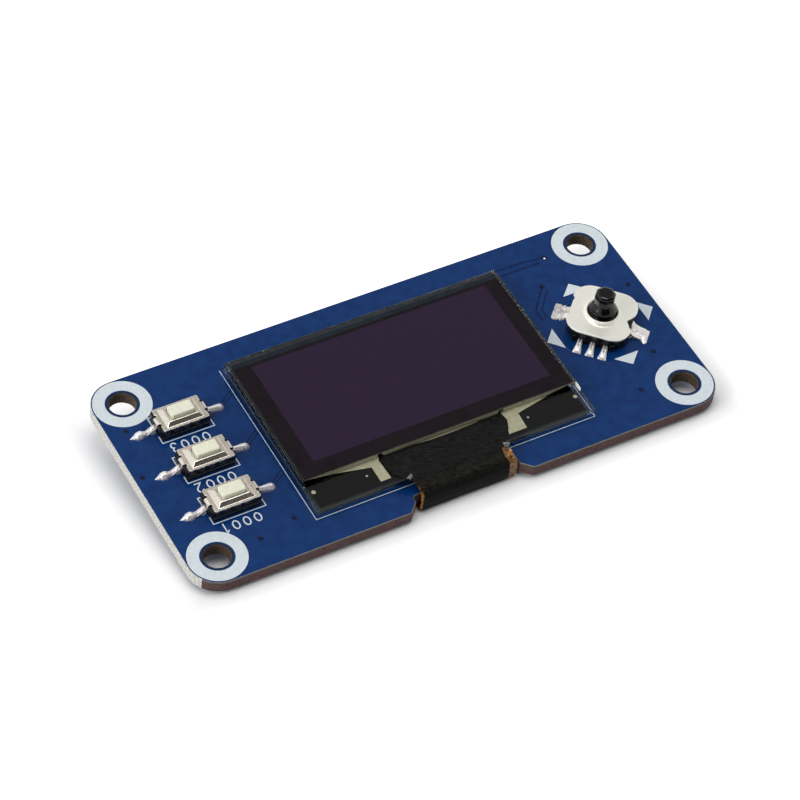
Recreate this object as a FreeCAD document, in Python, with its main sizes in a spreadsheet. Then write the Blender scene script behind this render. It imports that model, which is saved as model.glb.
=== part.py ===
import FreeCAD, Part
import math
import os
from types import SimpleNamespace

import Sketcher
from FreeCAD import Placement, Rotation, Vector

# A small display board: a glass panel in the middle, three push keys on the left and a
# five-way joystick on the right, with a socket for a pin header under the back edge.
# X runs from the keys to the joystick and Y away from the flex. The origin is the centre
# of the four mounting holes on the board's underside, and +Z is the side with the display.

SIZES = {
    # Circuit board
    "board_length": 65.0,
    "board_width": 30.0,
    "board_thickness": 1.6,
    "board_corner_radius": 3.5,
    "mounting_hole_inset": 3.5,
    "mounting_hole_radius": 1.5,
    "notch_side_clearance": 0.3,
    "notch_depth": 2.0,
    "notch_chamfer": 1.2,
    # Display panel, from the board up
    "foam_thickness": 0.6,
    "foam_inset": 0.7,
    "display_side_room": 15.3,
    "display_front_room": 3.5,
    "display_back_room": 4.0,
    "glass_thickness": 0.6,
    "seal_thickness": 0.02,
    "seal_width": 1.2,
    "ledge_depth": 3.9,
    "front_glass_side_gap": 0.2,
    "front_glass_back_gap": 0.25,
    "front_glass_recess": 0.15,
    "polarizer_inset": 0.35,
    "polarizer_thickness": 0.15,
    "pixel_border_side": 1.09,
    "pixel_border_front": 0.7,
    "pixel_border_back": 0.55,
    "pixel_layer_thickness": 0.05,
    # Driver chip, flex and its tape
    "chip_length": 10.2,
    "chip_width": 1.0,
    "chip_thickness": 0.3,
    "chip_setback": 1.6,
    "flex_width": 12.2,
    "flex_thickness": 0.12,
    "flex_bond_length": 1.6,
    "flex_overhang": 0.4,
    "flex_face_gap": 0.95,
    "flex_shoulder_drop": 0.55,
    "flex_shoulder_radius": 1.0,
    "flex_fall_radius": 2.0,
    "flex_loop_drop": 0.42,
    "flex_loop_radius": 0.5,
    "flex_loop_length": 1.7,
    "flex_rise_length": 1.3,
    "flex_tail_length": 2.9,
    "tape_thickness": 0.08,
    "tape_gap": 0.01,
    "tape_width": 15.4,
    "tape_shift": 0.45,
    "tape_neck_width": 10.3,
    "tape_neck_shift": 0.15,
    "tape_shoulder_inset": 1.1,
    "tape_neck_overhang": 0.2,
    "tape_trim_margin": 1.0,
    "tape_tail_length": 1.3,
    # Push keys
    "key_inset": 8.05,
    "key_middle_y": 0.5,
    "key_pitch": 6.1,
    "key_housing_length": 5.9,
    "key_housing_depth": 3.3,
    "key_housing_height": 1.37,
    "key_housing_chamfer": 0.25,
    "key_floor": 0.55,
    "key_end_wall": 0.85,
    "key_side_wall": 0.4,
    "key_cover_end_gap": 0.225,
    "key_cover_side_gap": 0.025,
    "key_cover_sheet": 0.18,
    "key_ear_width": 1.0,
    "key_ear_drop": 0.5,
    "key_ear_gap": 0.02,
    "key_rim_end": 0.575,
    "key_rim_side": 0.275,
    "key_crown_slope": 0.4,
    "key_crown_rise": 0.4,
    "key_plunger_length": 2.75,
    "key_plunger_depth": 1.5,
    "key_plunger_radius": 0.2,
    "key_plunger_proud": 0.55,
    "key_window_clearance": 0.08,
    "key_flange_gap": 0.25,
    "key_flange_thickness": 0.3,
    "key_flange_drop": 0.05,
    "key_nub_radius": 0.5,
    "key_dome_radius": 1.15,
    "key_dome_rise": 0.24,
    "key_dome_sheet": 0.06,
    "key_dome_gap": 0.02,
    "key_lead_reach": 2.4,
    "key_lead_width": 0.7,
    "key_lead_thickness": 0.15,
    "key_lead_foot": 1.4,
    "key_lead_slope": 0.8,
    "key_lead_inner_x": 0.85,
    "key_solder_height": 0.4,
    "key_solder_width": 1.1,
    "key_solder_toe": 0.35,
    # Five-way joystick, in its own frame, which is turned on the board
    "joystick_inset": 7.6,
    "joystick_y": 0.0,
    "joystick_angle": -45.0,
    "joystick_housing_side": 7.1,
    "joystick_housing_corner": 2.0,
    "joystick_housing_height": 1.6,
    "joystick_wall": 0.8,
    "joystick_floor": 0.4,
    "joystick_cover_overhang": 0.175,
    "joystick_cover_sheet": 0.2,
    "joystick_recess_width": 2.9,
    "joystick_recess_depth": 0.3,
    "joystick_tab_width": 1.7,
    "joystick_tab_gap": 0.03,
    "joystick_tab_reach": 1.3,
    "joystick_tab_bend": 0.3,
    "joystick_boss_inset": 0.625,
    "joystick_boss_slope": 0.75,
    "joystick_boss_rise": 0.4,
    "joystick_boss_wall": 0.15,
    "joystick_boss_lip": 0.5,
    "contact_plate_gap": 0.15,
    "contact_plate_sheet": 0.05,
    "contact_dome_radius": 1.1,
    "contact_dome_rise": 0.27,
    "drive_ring_gap": 0.45,
    "drive_ring_width": 0.9,
    "drive_ring_thickness": 0.3,
    "drive_ring_height": 0.75,
    "collar_height": 1.35,
    "collar_flange_lap": 0.15,
    "collar_flange_thickness": 0.15,
    "collar_clearance": 0.23,
    "collar_step_height": 2.0,
    "collar_step_width": 0.22,
    "collar_top_height": 2.2,
    "post_flats": 2.2,
    "post_clearance": 0.05,
    "post_top": 5.4,
    "post_chamfer": 0.25,
    "post_shoulder": 1.0,
    "post_foot_radius": 0.6,
    "post_foot_gap": 0.03,
    "joystick_lead_pitch": 1.45,
    "joystick_lead_width": 0.6,
    "joystick_lead_thickness": 0.15,
    "joystick_lead_height": 0.3,
    "joystick_lead_root": 0.55,
    "joystick_lead_slope": 0.65,
    "joystick_lead_foot": 1.05,
    "joystick_lead_slack": 0.01,
    "joystick_solder_height": 0.32,
    "joystick_solder_width": 0.95,
    "tab_solder_height": 0.55,
    "tab_solder_width": 2.6,
    # Pin socket under the back edge
    "header_pitch": 2.54,
    "header_columns": 20,
    "header_end_wall": 0.1,
    "header_depth": 5.0,
    "header_height": 4.5,
    "header_standoff": 0.3,
    "header_cavity": 1.0,
    "header_lead_in": 0.25,
    "contact_width": 0.6,
    "contact_sheet": 0.15,
    "contact_foot_sheet": 0.2,
    "contact_foot_reach": 3.2,
    "contact_tip_recess": 0.7,
    # Small parts on the underside
    "capacitor_count": 7,
    "capacitor_height": 0.8,
    "resistor_count": 5,
    "resistor_height": 0.5,
    "passive_length": 1.6,
    "passive_width": 0.8,
    "passive_pitch": 3.6,
    "capacitor_row_y": 4.0,
    "resistor_row_y": -0.5,
}


class Size:
    """A number with its sheet formula, so that what is worked out from sizes stays bound."""

    def __init__(self, value, formula):
        self.value = value
        self.formula = formula

    @staticmethod
    def of(number):
        if isinstance(number, Size):
            return number
        return Size(float(number), f"({float(number)!r})")

    def join(self, other, sign, value):
        return Size(value, f"({self.formula} {sign} {other.formula})")

    def __add__(self, other):
        other = Size.of(other)
        return self.join(other, "+", self.value + other.value)

    def __sub__(self, other):
        other = Size.of(other)
        return self.join(other, "-", self.value - other.value)

    def __mul__(self, other):
        other = Size.of(other)
        return self.join(other, "*", self.value * other.value)

    def __truediv__(self, other):
        other = Size.of(other)
        return self.join(other, "/", self.value / other.value)

    def __neg__(self):
        return Size(-self.value, f"(0 - {self.formula})")

    __radd__ = __add__
    __rmul__ = __mul__


doc = FreeCAD.newDocument("display_board")
sheet = doc.addObject("Spreadsheet::Sheet", "Sizes")
for row, (word, number) in enumerate(SIZES.items(), start=1):
    sheet.set(f"A{row}", word)
    sheet.set(f"B{row}", str(number))
    sheet.setAlias(f"B{row}", word)
doc.recompute()
dim = SimpleNamespace(**{word: Size(float(sheet.get(word)), f"Sizes.{word}") for word in SIZES})


# Drawing helpers

def bind(thing, path, number):
    thing.setExpression(path, Size.of(number).formula)


def new_body(label):
    body = doc.addObject("PartDesign::Body", label)
    body.Label = label
    body.AllowCompound = True
    return body


def origin_plane(body, role):
    return next(item for item in body.Origin.OriginFeatures if item.Role == role)


def new_sketch(body, plane="XY_Plane", offset=0):
    """A sketch on one of the body's own origin planes, moved along the plane's normal."""
    sketch = body.newObject("Sketcher::SketchObject", body.Label + "_sketch")
    sketch.AttachmentSupport = [(origin_plane(body, plane), "")]
    sketch.MapMode = "FlatFace"
    bind(sketch, ".AttachmentOffset.Base.z", offset)
    return sketch


def pin_point(sketch, item, end, x, y):
    """Tie one point of a sketch to two sizes."""
    for kind, number in (("DistanceX", x), ("DistanceY", y)):
        rule = Sketcher.Constraint(kind, -1, 1, item, end, number.value)
        bind(sketch, f"Constraints[{sketch.addConstraint(rule)}]", number)


def turn_points(before, corner, after, radius):
    """Where a rounding of this radius starts and ends at a corner, and its centre."""
    back = (before - corner).normalize()
    ahead = (after - corner).normalize()
    half_angle = back.getAngle(ahead) / 2
    start = corner + back * (radius / math.tan(half_angle))
    end = corner + ahead * (radius / math.tan(half_angle))
    centre = corner + (back + ahead).normalize() * (radius / math.sin(half_angle))
    return start, end, centre


def outline(sketch, corners):
    """A closed outline through (x, y) corners, or (x, y, radius) for a rounded one."""
    sizes = [[Size.of(number) for number in corner] for corner in corners]
    spots = [Vector(corner[0].value, corner[1].value, 0) for corner in sizes]
    count = len(sizes)
    starts, ends, centres = list(spots), list(spots), list(spots)
    for i, corner in enumerate(sizes):
        if len(corner) == 3:
            found = turn_points(spots[i - 1], spots[i], spots[(i + 1) % count], corner[2].value)
            starts[i], ends[i], centres[i] = found
    lines = []
    for i in range(count):
        line = Part.LineSegment(ends[i], starts[(i + 1) % count])
        lines.append(sketch.addGeometry(line, False))
    for i, corner in enumerate(sizes):
        arriving, leaving = lines[i - 1], lines[i]
        if len(corner) == 2:
            sketch.addConstraint(Sketcher.Constraint("Coincident", arriving, 2, leaving, 1))
            pin_point(sketch, leaving, 1, corner[0], corner[1])
            continue
        from_centre = starts[i] - centres[i]
        to_centre = ends[i] - centres[i]
        turns_left = from_centre.cross(to_centre).z > 0
        first, last = (from_centre, to_centre) if turns_left else (to_centre, from_centre)
        circle = Part.Circle(centres[i], Vector(0, 0, 1), corner[2].value)
        first_angle = math.atan2(first.y, first.x)
        last_angle = math.atan2(last.y, last.x)
        arc = sketch.addGeometry(Part.ArcOfCircle(circle, first_angle, last_angle), False)
        arc_in, arc_out = (1, 2) if turns_left else (2, 1)
        sketch.addConstraint(Sketcher.Constraint("Tangent", arriving, 2, arc, arc_in))
        sketch.addConstraint(Sketcher.Constraint("Tangent", arc, arc_out, leaving, 1))
        rule = Sketcher.Constraint("Radius", arc, corner[2].value)
        bind(sketch, f"Constraints[{sketch.addConstraint(rule)}]", corner[2])
        point = sketch.addGeometry(Part.Point(spots[i]), True)
        sketch.addConstraint(Sketcher.Constraint("PointOnObject", point, 1, arriving))
        sketch.addConstraint(Sketcher.Constraint("PointOnObject", point, 1, leaving))
        pin_point(sketch, point, 1, corner[0], corner[1])


def circle(sketch, radius, x=0, y=0):
    x, y, radius = Size.of(x), Size.of(y), Size.of(radius)
    shape = Part.Circle(Vector(x.value, y.value, 0), Vector(0, 0, 1), radius.value)
    item = sketch.addGeometry(shape, False)
    pin_point(sketch, item, 3, x, y)
    rule = Sketcher.Constraint("Radius", item, radius.value)
    bind(sketch, f"Constraints[{sketch.addConstraint(rule)}]", radius)


def rectangle(sketch, length, depth, x=0, y=0, radius=None):
    """A rectangle by its two sizes and its centre."""
    half_x, half_y = length / 2, depth / 2
    rounding = [] if radius is None else [radius]
    signs = ((-1, -1), (1, -1), (1, 1), (-1, 1))
    outline(sketch, [[x + sx * half_x, y + sy * half_y] + rounding for sx, sy in signs])


def octagon(sketch, flats):
    """A regular octagon by the distance across its flats."""
    reach = 0.5 / math.cos(math.pi / 8)
    angles = [(k + 0.5) * math.pi / 4 for k in range(8)]
    outline(sketch, [(flats * (reach * math.cos(a)), flats * (reach * math.sin(a))) for a in angles])


def pad(body, sketch, length, both_ways=False):
    feature = body.newObject("PartDesign::Pad", body.Label + "_pad")
    feature.Profile = sketch
    feature.SideType = "Symmetric" if both_ways else "One side"
    bind(feature, "Length", length)
    return feature


def pocket(body, sketch, depth=None, upward=False, both_ways=False):
    """Cut along the sketch's normal: down by default, up, or both ways; no depth cuts through."""
    feature = body.newObject("PartDesign::Pocket", body.Label + "_pocket")
    feature.Profile = sketch
    feature.SideType = "Symmetric" if both_ways else "One side"
    feature.Reversed = upward
    if depth is None:
        feature.Type = "ThroughAll"
    else:
        bind(feature, "Length", depth)
    return feature


def revolve(body, sketch):
    feature = body.newObject("PartDesign::Revolution", body.Label + "_turn")
    feature.Profile = sketch
    feature.ReferenceAxis = (sketch, ["V_Axis"])
    feature.Angle = 360
    return feature


def loft(body, first, last, kind="AdditiveLoft"):
    feature = body.newObject("PartDesign::" + kind, body.Label + "_loft")
    feature.Profile = first
    feature.Sections = [last]
    return feature


def mirror(body, features, plane="YZ_Plane"):
    feature = body.newObject("PartDesign::Mirrored", body.Label + "_mirror")
    feature.Originals = features
    feature.MirrorPlane = (origin_plane(body, plane), [""])
    body.Tip = feature
    return feature


def row_of(body, features, axis, pitch, count):
    """Repeat features along one of the body's own axes."""
    feature = body.newObject("PartDesign::LinearPattern", body.Label + "_row")
    feature.Originals = features
    line = next(item for item in body.Origin.OriginFeatures if item.Role == axis)
    feature.Direction = (line, [""])
    bind(feature, "Length", pitch * (count - 1))
    bind(feature, "Occurrences", count)
    body.Tip = feature
    return feature


def place(body, x, y, z, turn=0):
    x, y, z, turn = Size.of(x), Size.of(y), Size.of(z), Size.of(turn)
    spin = Rotation(Vector(0, 0, 1), turn.value)
    body.Placement = Placement(Vector(x.value, y.value, z.value), spin)
    bind(body, ".Placement.Base.x", x)
    bind(body, ".Placement.Base.y", y)
    bind(body, ".Placement.Base.z", z)


# Circuit board

half_length, half_width = dim.board_length / 2, dim.board_width / 2
mounting_x = half_length - dim.mounting_hole_inset
mounting_y = half_width - dim.mounting_hole_inset
notch_wall_y = dim.notch_depth - half_width


def circuit_board():
    body = new_body("circuit_board")
    half_x, half_y = half_length, half_width
    notch, radius = dim.flex_width / 2 + dim.notch_side_clearance, dim.board_corner_radius
    chamfer_y = dim.notch_chamfer - half_y
    sketch = new_sketch(body)
    outline(sketch, [
        (-half_x, -half_y, radius),
        (-notch - dim.notch_chamfer, -half_y),
        (-notch, chamfer_y),
        (-notch, notch_wall_y),
        (notch, notch_wall_y),
        (notch, chamfer_y),
        (notch + dim.notch_chamfer, -half_y),
        (half_x, -half_y, radius),
        (half_x, half_y, radius),
        (-half_x, half_y, radius),
    ])
    pad(body, sketch, dim.board_thickness)
    holes = new_sketch(body, offset=dim.board_thickness)
    for side_x in (-1, 1):
        for side_y in (-1, 1):
            circle(holes, dim.mounting_hole_radius, mounting_x * side_x, mounting_y * side_y)
    pocket(body, holes)


# Display panel

rear_glass_width = dim.board_length - 2 * dim.display_side_room
rear_glass_front_y = dim.display_front_room - half_width
rear_glass_back_y = half_width - dim.display_back_room
rear_glass_z = dim.board_thickness + dim.foam_thickness
ledge_z = rear_glass_z + dim.glass_thickness
front_glass_width = rear_glass_width - 2 * dim.front_glass_side_gap
front_glass_front_y = rear_glass_front_y + dim.ledge_depth
front_glass_back_y = rear_glass_back_y - dim.front_glass_back_gap
front_glass_z = ledge_z + dim.seal_thickness
front_glass_top_z = front_glass_z + dim.glass_thickness
seal_inner_width = front_glass_width - 2 * dim.seal_width
seal_inner_front_y = front_glass_front_y + dim.seal_width
seal_inner_back_y = front_glass_back_y - dim.seal_width
chip_front_y = front_glass_front_y - dim.chip_setback
flex_bond_y = rear_glass_front_y + dim.flex_bond_length
flex_fall_y = rear_glass_front_y - dim.flex_overhang
flex_face_y = notch_wall_y - dim.flex_face_gap


def plate(label, width, front_y, back_y, bottom, thickness, radius=None):
    """A flat sheet, centred in X, between two Y edges."""
    body = new_body(label)
    sketch = new_sketch(body, offset=bottom)
    rectangle(sketch, width, back_y - front_y, Size.of(0), (front_y + back_y) / 2, radius)
    pad(body, sketch, thickness)
    return body


def seal_window(body, offset):
    """A sketch of the opening inside the seal."""
    sketch = new_sketch(body, offset=offset)
    rectangle(sketch, seal_inner_width, seal_inner_back_y - seal_inner_front_y,
              Size.of(0), (seal_inner_front_y + seal_inner_back_y) / 2)
    return sketch


def display_panel():
    inset = dim.foam_inset
    plate("display_foam_pad", rear_glass_width - 2 * inset, rear_glass_front_y + inset,
          rear_glass_back_y - inset, dim.board_thickness, dim.foam_thickness)
    plate("display_rear_glass", rear_glass_width, rear_glass_front_y,
          rear_glass_back_y, rear_glass_z, dim.glass_thickness)
    plate("display_pixel_layer", seal_inner_width - 2 * dim.pixel_border_side,
          seal_inner_front_y + dim.pixel_border_front, seal_inner_back_y - dim.pixel_border_back,
          ledge_z, dim.pixel_layer_thickness)
    seal = plate("display_seal", front_glass_width, front_glass_front_y, front_glass_back_y,
                 ledge_z, dim.seal_thickness)
    pocket(seal, seal_window(seal, front_glass_z))
    glass = plate("display_front_glass", front_glass_width, front_glass_front_y,
                  front_glass_back_y, front_glass_z, dim.glass_thickness)
    pocket(glass, seal_window(glass, front_glass_z), dim.front_glass_recess, upward=True)
    inset = dim.polarizer_inset
    plate("display_polarizer", front_glass_width - 2 * inset, front_glass_front_y + inset,
          front_glass_back_y - inset, front_glass_top_z, dim.polarizer_thickness)
    plate("display_driver_chip", dim.chip_length, chip_front_y, chip_front_y + dim.chip_width,
          ledge_z, dim.chip_thickness)


def ribbon_side(shift, start_corners):
    """Corners down the flex's outer face, moved out by shift, from the ledge to the loop."""
    top = ledge_z + dim.flex_thickness + shift
    face_y = flex_face_y - shift
    bottom = -dim.flex_loop_drop - shift
    return start_corners + [
        (flex_fall_y, top, dim.flex_fall_radius + shift),
        (face_y, top - dim.flex_shoulder_drop, dim.flex_shoulder_radius + shift),
        (face_y, bottom, dim.flex_loop_radius + shift),
    ]


def flex():
    """The bent ribbon from the ledge of the rear glass to the pads under the board."""
    body = new_body("display_flex")
    sheet_out = dim.flex_thickness
    loop_y = flex_face_y + dim.flex_loop_length
    rise_y = loop_y + dim.flex_rise_length
    tail_y = rise_y + dim.flex_tail_length
    outer = ribbon_side(Size.of(0), [(flex_bond_y, ledge_z + sheet_out)])
    outer += [(loop_y, -dim.flex_loop_drop), (rise_y, -sheet_out), (tail_y, -sheet_out)]
    inner = ribbon_side(-sheet_out, [(flex_bond_y, ledge_z)])
    inner += [(loop_y, sheet_out - dim.flex_loop_drop), (rise_y, Size.of(0)), (tail_y, Size.of(0))]
    sketch = new_sketch(body, "YZ_Plane")
    outline(sketch, outer + inner[::-1])
    pad(body, sketch, dim.flex_width, both_ways=True)


def flex_tape():
    """The cloth tape over the chip and the flex, wide on the ledge and narrow on the bend."""
    body = new_body("display_flex_tape")
    gap, far = dim.tape_gap, dim.tape_gap + dim.tape_thickness
    start_y = front_glass_front_y - gap
    over_chip_z = ledge_z + dim.chip_thickness
    chip_edge_y = chip_front_y - dim.tape_thickness
    flex_top = ledge_z + dim.flex_thickness
    tail_y = flex_face_y + dim.tape_tail_length
    sides = []
    for shift in (gap, far):
        start = [(start_y, over_chip_z + shift), (chip_edge_y, over_chip_z + shift),
                 (flex_bond_y, flex_top + shift)]
        sides.append(ribbon_side(shift, start) + [(tail_y, -dim.flex_loop_drop - shift)])
    sketch = new_sketch(body, "YZ_Plane", dim.tape_shift)
    outline(sketch, sides[1] + sides[0][::-1])
    pad(body, sketch, dim.tape_width, both_ways=True)
    trims = new_sketch(body, offset=front_glass_top_z)
    shoulder_y = rear_glass_front_y + dim.tape_shoulder_inset
    neck_y = rear_glass_front_y - dim.tape_neck_overhang
    beyond_y = flex_face_y - dim.tape_trim_margin
    for side in (-1, 1):
        edge_x = dim.tape_shift + dim.tape_width * (side / 2)
        beyond_x = edge_x + dim.tape_trim_margin * side
        neck_x = dim.tape_neck_shift + dim.tape_neck_width * (side / 2)
        outline(trims, [
            (edge_x, shoulder_y), (neck_x, neck_y), (neck_x, beyond_y),
            (beyond_x, beyond_y), (beyond_x, shoulder_y),
        ])
    pocket(body, trims)


# Push keys, each drawn about its own centre on the board's top face

key_x = dim.key_inset - half_length
key_cavity_length = dim.key_housing_length - 2 * dim.key_end_wall
key_cavity_depth = dim.key_housing_depth - 2 * dim.key_side_wall
key_cover_length = dim.key_housing_length - 2 * dim.key_cover_end_gap
key_cover_depth = dim.key_housing_depth - 2 * dim.key_cover_side_gap
key_crown_length = key_cover_length - 2 * dim.key_rim_end
key_crown_depth = key_cover_depth - 2 * dim.key_rim_side
key_crown_top_length = key_crown_length - 2 * dim.key_crown_slope
key_crown_top_depth = key_crown_depth - 2 * dim.key_crown_slope
key_cover_top = dim.key_housing_height + dim.key_cover_sheet
key_crown_top = key_cover_top + dim.key_crown_rise
key_lead_top = dim.key_floor + dim.key_lead_thickness
key_dome_top = key_lead_top + dim.key_dome_rise + dim.key_dome_sheet
key_tip_x = dim.key_housing_length / 2 + dim.key_lead_reach
key_foot_x = key_tip_x - dim.key_lead_foot
window_length = dim.key_plunger_length + 2 * dim.key_window_clearance
window_depth = dim.key_plunger_depth + 2 * dim.key_window_clearance


def key_housing(label):
    body = new_body(label)
    half_x, half_y = dim.key_housing_length / 2, dim.key_housing_depth / 2
    cut = dim.key_housing_chamfer
    base = new_sketch(body)
    outline(base, [
        (-half_x, -half_y + cut), (-half_x + cut, -half_y),
        (half_x - cut, -half_y), (half_x, -half_y + cut),
        (half_x, half_y - cut), (half_x - cut, half_y),
        (-half_x + cut, half_y), (-half_x, half_y - cut),
    ])
    pad(body, base, dim.key_housing_height)
    cavity = new_sketch(body, offset=dim.key_housing_height)
    rectangle(cavity, key_cavity_length, key_cavity_depth)
    pocket(body, cavity, dim.key_housing_height - dim.key_floor)
    slot = new_sketch(body, "YZ_Plane")
    rectangle(slot, dim.key_lead_width, dim.key_lead_thickness, Size.of(0),
              dim.key_floor + dim.key_lead_thickness / 2)
    pocket(body, slot, both_ways=True)
    return body


def key_terminals(label):
    """Two flat leads that leave the end walls and step down to the board."""
    body = new_body(label)
    wall_x = key_foot_x - dim.key_lead_slope
    tip_x = key_tip_x
    sheet_z = dim.key_lead_thickness
    sketch = new_sketch(body, "XZ_Plane")
    outline(sketch, [
        (dim.key_lead_inner_x, dim.key_floor), (wall_x, dim.key_floor),
        (key_foot_x, Size.of(0)), (tip_x, Size.of(0)),
        (tip_x, sheet_z), (key_foot_x + sheet_z / 2, sheet_z),
        (wall_x + sheet_z / 2, key_lead_top), (dim.key_lead_inner_x, key_lead_top),
    ])
    lead = pad(body, sketch, dim.key_lead_width, both_ways=True)
    mirror(body, [lead])
    return body


def key_dome(label):
    """The snap dome that lies on the two leads and returns the plunger."""
    body = new_body(label)
    rim, crown = dim.key_dome_radius, dim.key_dome_radius / 2
    sheet_z = dim.key_dome_sheet
    shoulder = key_lead_top + dim.key_dome_rise * 0.75
    sketch = new_sketch(body, "XZ_Plane")
    outline(sketch, [
        (Size.of(0), key_lead_top + dim.key_dome_rise), (crown, shoulder),
        (rim, key_lead_top), (rim, key_lead_top + sheet_z),
        (crown, shoulder + sheet_z), (Size.of(0), key_dome_top),
    ])
    revolve(body, sketch)
    return body


def key_cover(label):
    """The pressed metal cover: a flat rim, a sloped crown with the window, and two ears."""
    body = new_body(label)
    bottom, sheet_z = dim.key_housing_height, dim.key_cover_sheet
    rim = new_sketch(body, offset=bottom)
    rectangle(rim, key_cover_length, key_cover_depth)
    pad(body, rim, sheet_z)
    crown_base = new_sketch(body, offset=key_cover_top)
    rectangle(crown_base, key_crown_length, key_crown_depth)
    crown_lid = new_sketch(body, offset=key_crown_top)
    rectangle(crown_lid, key_crown_top_length, key_crown_top_depth)
    loft(body, crown_base, crown_lid)
    hollow_base = new_sketch(body, offset=bottom)
    rectangle(hollow_base, key_crown_length - sheet_z, key_crown_depth - sheet_z)
    hollow_lid = new_sketch(body, offset=key_crown_top - sheet_z)
    rectangle(hollow_lid, key_crown_top_length - sheet_z, key_crown_top_depth - sheet_z)
    loft(body, hollow_base, hollow_lid, "SubtractiveLoft")
    window = new_sketch(body, offset=key_crown_top)
    rectangle(window, window_length, window_depth)
    pocket(body, window)
    inner_x = dim.key_housing_length / 2 + dim.key_ear_gap
    outer_x = inner_x + sheet_z
    root_x = key_cover_length / 2 - sheet_z
    ear_z = key_cover_top - dim.key_ear_drop
    ear = new_sketch(body, "XZ_Plane")
    outline(ear, [
        (root_x, bottom), (inner_x, bottom), (inner_x, ear_z), (outer_x, ear_z),
        (outer_x, key_cover_top, sheet_z), (root_x, key_cover_top),
    ])
    ears = pad(body, ear, dim.key_ear_width, both_ways=True)
    mirror(body, [ears])
    return body


def key_plunger(label):
    """The moving button: a cap through the window, a flange under it and a nub on the dome."""
    body = new_body(label)
    flange_top = key_cover_top - dim.key_flange_drop
    flange_bottom = flange_top - dim.key_flange_thickness
    flange_sketch = new_sketch(body, offset=flange_bottom)
    gap = 2 * dim.key_flange_gap
    rectangle(flange_sketch, key_cavity_length - gap, key_cavity_depth - gap)
    pad(body, flange_sketch, dim.key_flange_thickness)
    cap = new_sketch(body, offset=flange_top)
    rectangle(cap, dim.key_plunger_length, dim.key_plunger_depth, radius=dim.key_plunger_radius)
    pad(body, cap, key_crown_top + dim.key_plunger_proud - flange_top)
    nub_bottom = key_dome_top + dim.key_dome_gap
    nub = new_sketch(body, offset=nub_bottom)
    circle(nub, dim.key_nub_radius)
    pad(body, nub, flange_bottom - nub_bottom)
    return body


def keys():
    builders = {
        "housing": key_housing,
        "terminals": key_terminals,
        "dome": key_dome,
        "cover": key_cover,
        "plunger": key_plunger,
    }
    for number, steps in ((1, -1), (2, 0), (3, 1)):
        for piece, builder in builders.items():
            body = builder(f"key{number}_{piece}")
            place(body, key_x, dim.key_middle_y + dim.key_pitch * steps, dim.board_thickness)


def solder_cap(body, plane, start, toe, height, width, lead_tip, lead_width, lead_height):
    """A solder fillet over the foot of a lead, with the foot's own shape left out of it."""
    profile = new_sketch(body, plane)
    rounding = height / 2
    outline(profile, [
        (start, Size.of(0)), (toe, Size.of(0)),
        (toe - rounding, height), (start + rounding, height),
    ])
    cap = pad(body, profile, width, both_ways=True)
    tunnel = new_sketch(body, plane)
    outline(tunnel, [
        (start - height, Size.of(0)), (lead_tip, Size.of(0)),
        (lead_tip, lead_height), (start - height, lead_height),
    ])
    cut = pocket(body, tunnel, lead_width, both_ways=True)
    return [cap, cut]


def key_solder():
    body = new_body("key_solder")
    features = solder_cap(
        body, "XZ_Plane", key_foot_x + dim.key_lead_thickness, key_tip_x + dim.key_solder_toe,
        dim.key_solder_height, dim.key_solder_width, key_tip_x, dim.key_lead_width,
        dim.key_lead_thickness)
    half = mirror(body, features)
    column = body.newObject("PartDesign::LinearPattern", "key_solder_column")
    column.TransformMode = "Whole shape"
    column.Originals = [half]
    column.Direction = (origin_plane(body, "Y_Axis"), [""])
    bind(column, "Length", 2 * dim.key_pitch)
    column.Occurrences = 3
    body.Tip = column
    place(body, key_x, dim.key_middle_y - dim.key_pitch, dim.board_thickness)


# Five-way joystick, drawn about its own centre on the board's top face

joystick_cavity_radius = dim.joystick_housing_side / 2 - dim.joystick_wall
joystick_cover_side = dim.joystick_housing_side + 2 * dim.joystick_cover_overhang
joystick_boss_radius = joystick_cover_side / 2 - dim.joystick_boss_inset
joystick_boss_top_radius = joystick_boss_radius - dim.joystick_boss_slope
joystick_hole_radius = joystick_boss_top_radius - dim.joystick_boss_lip
drive_ring_radius = joystick_cavity_radius - dim.drive_ring_gap
collar_radius = joystick_hole_radius - dim.collar_clearance
joystick_cover_top = dim.joystick_housing_height + dim.joystick_cover_sheet
joystick_boss_top = joystick_cover_top + dim.joystick_boss_rise
contact_plate_top = dim.joystick_floor + dim.contact_plate_sheet
half_housing = dim.joystick_housing_side / 2
lead_foot_y = half_housing + dim.joystick_lead_slope
lead_tip_y = lead_foot_y + dim.joystick_lead_foot
tab_outer_x = half_housing + dim.joystick_tab_gap + dim.joystick_cover_sheet
tab_tip_x = tab_outer_x + dim.joystick_tab_reach


def place_joystick(body):
    joystick_x = half_length - dim.joystick_inset
    place(body, joystick_x, dim.joystick_y, dim.board_thickness, dim.joystick_angle)


def joystick_housing():
    body = new_body("joystick_housing")
    base = new_sketch(body)
    side = dim.joystick_housing_side
    rectangle(base, side, side, radius=dim.joystick_housing_corner)
    pad(body, base, dim.joystick_housing_height)
    cavity = new_sketch(body, offset=dim.joystick_housing_height)
    circle(cavity, joystick_cavity_radius)
    pocket(body, cavity, dim.joystick_housing_height - dim.joystick_floor)
    slack = dim.joystick_lead_slack
    slots = new_sketch(body, "XZ_Plane", half_housing)
    for step in (-1, 0, 1):
        rectangle(slots, dim.joystick_lead_width + 2 * slack,
                  dim.joystick_lead_thickness + 2 * slack, dim.joystick_lead_pitch * step,
                  dim.joystick_lead_height + dim.joystick_lead_thickness / 2)
    row = pocket(body, slots, dim.joystick_lead_root + slack)
    mirror(body, [row], "XZ_Plane")
    place_joystick(body)


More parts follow.
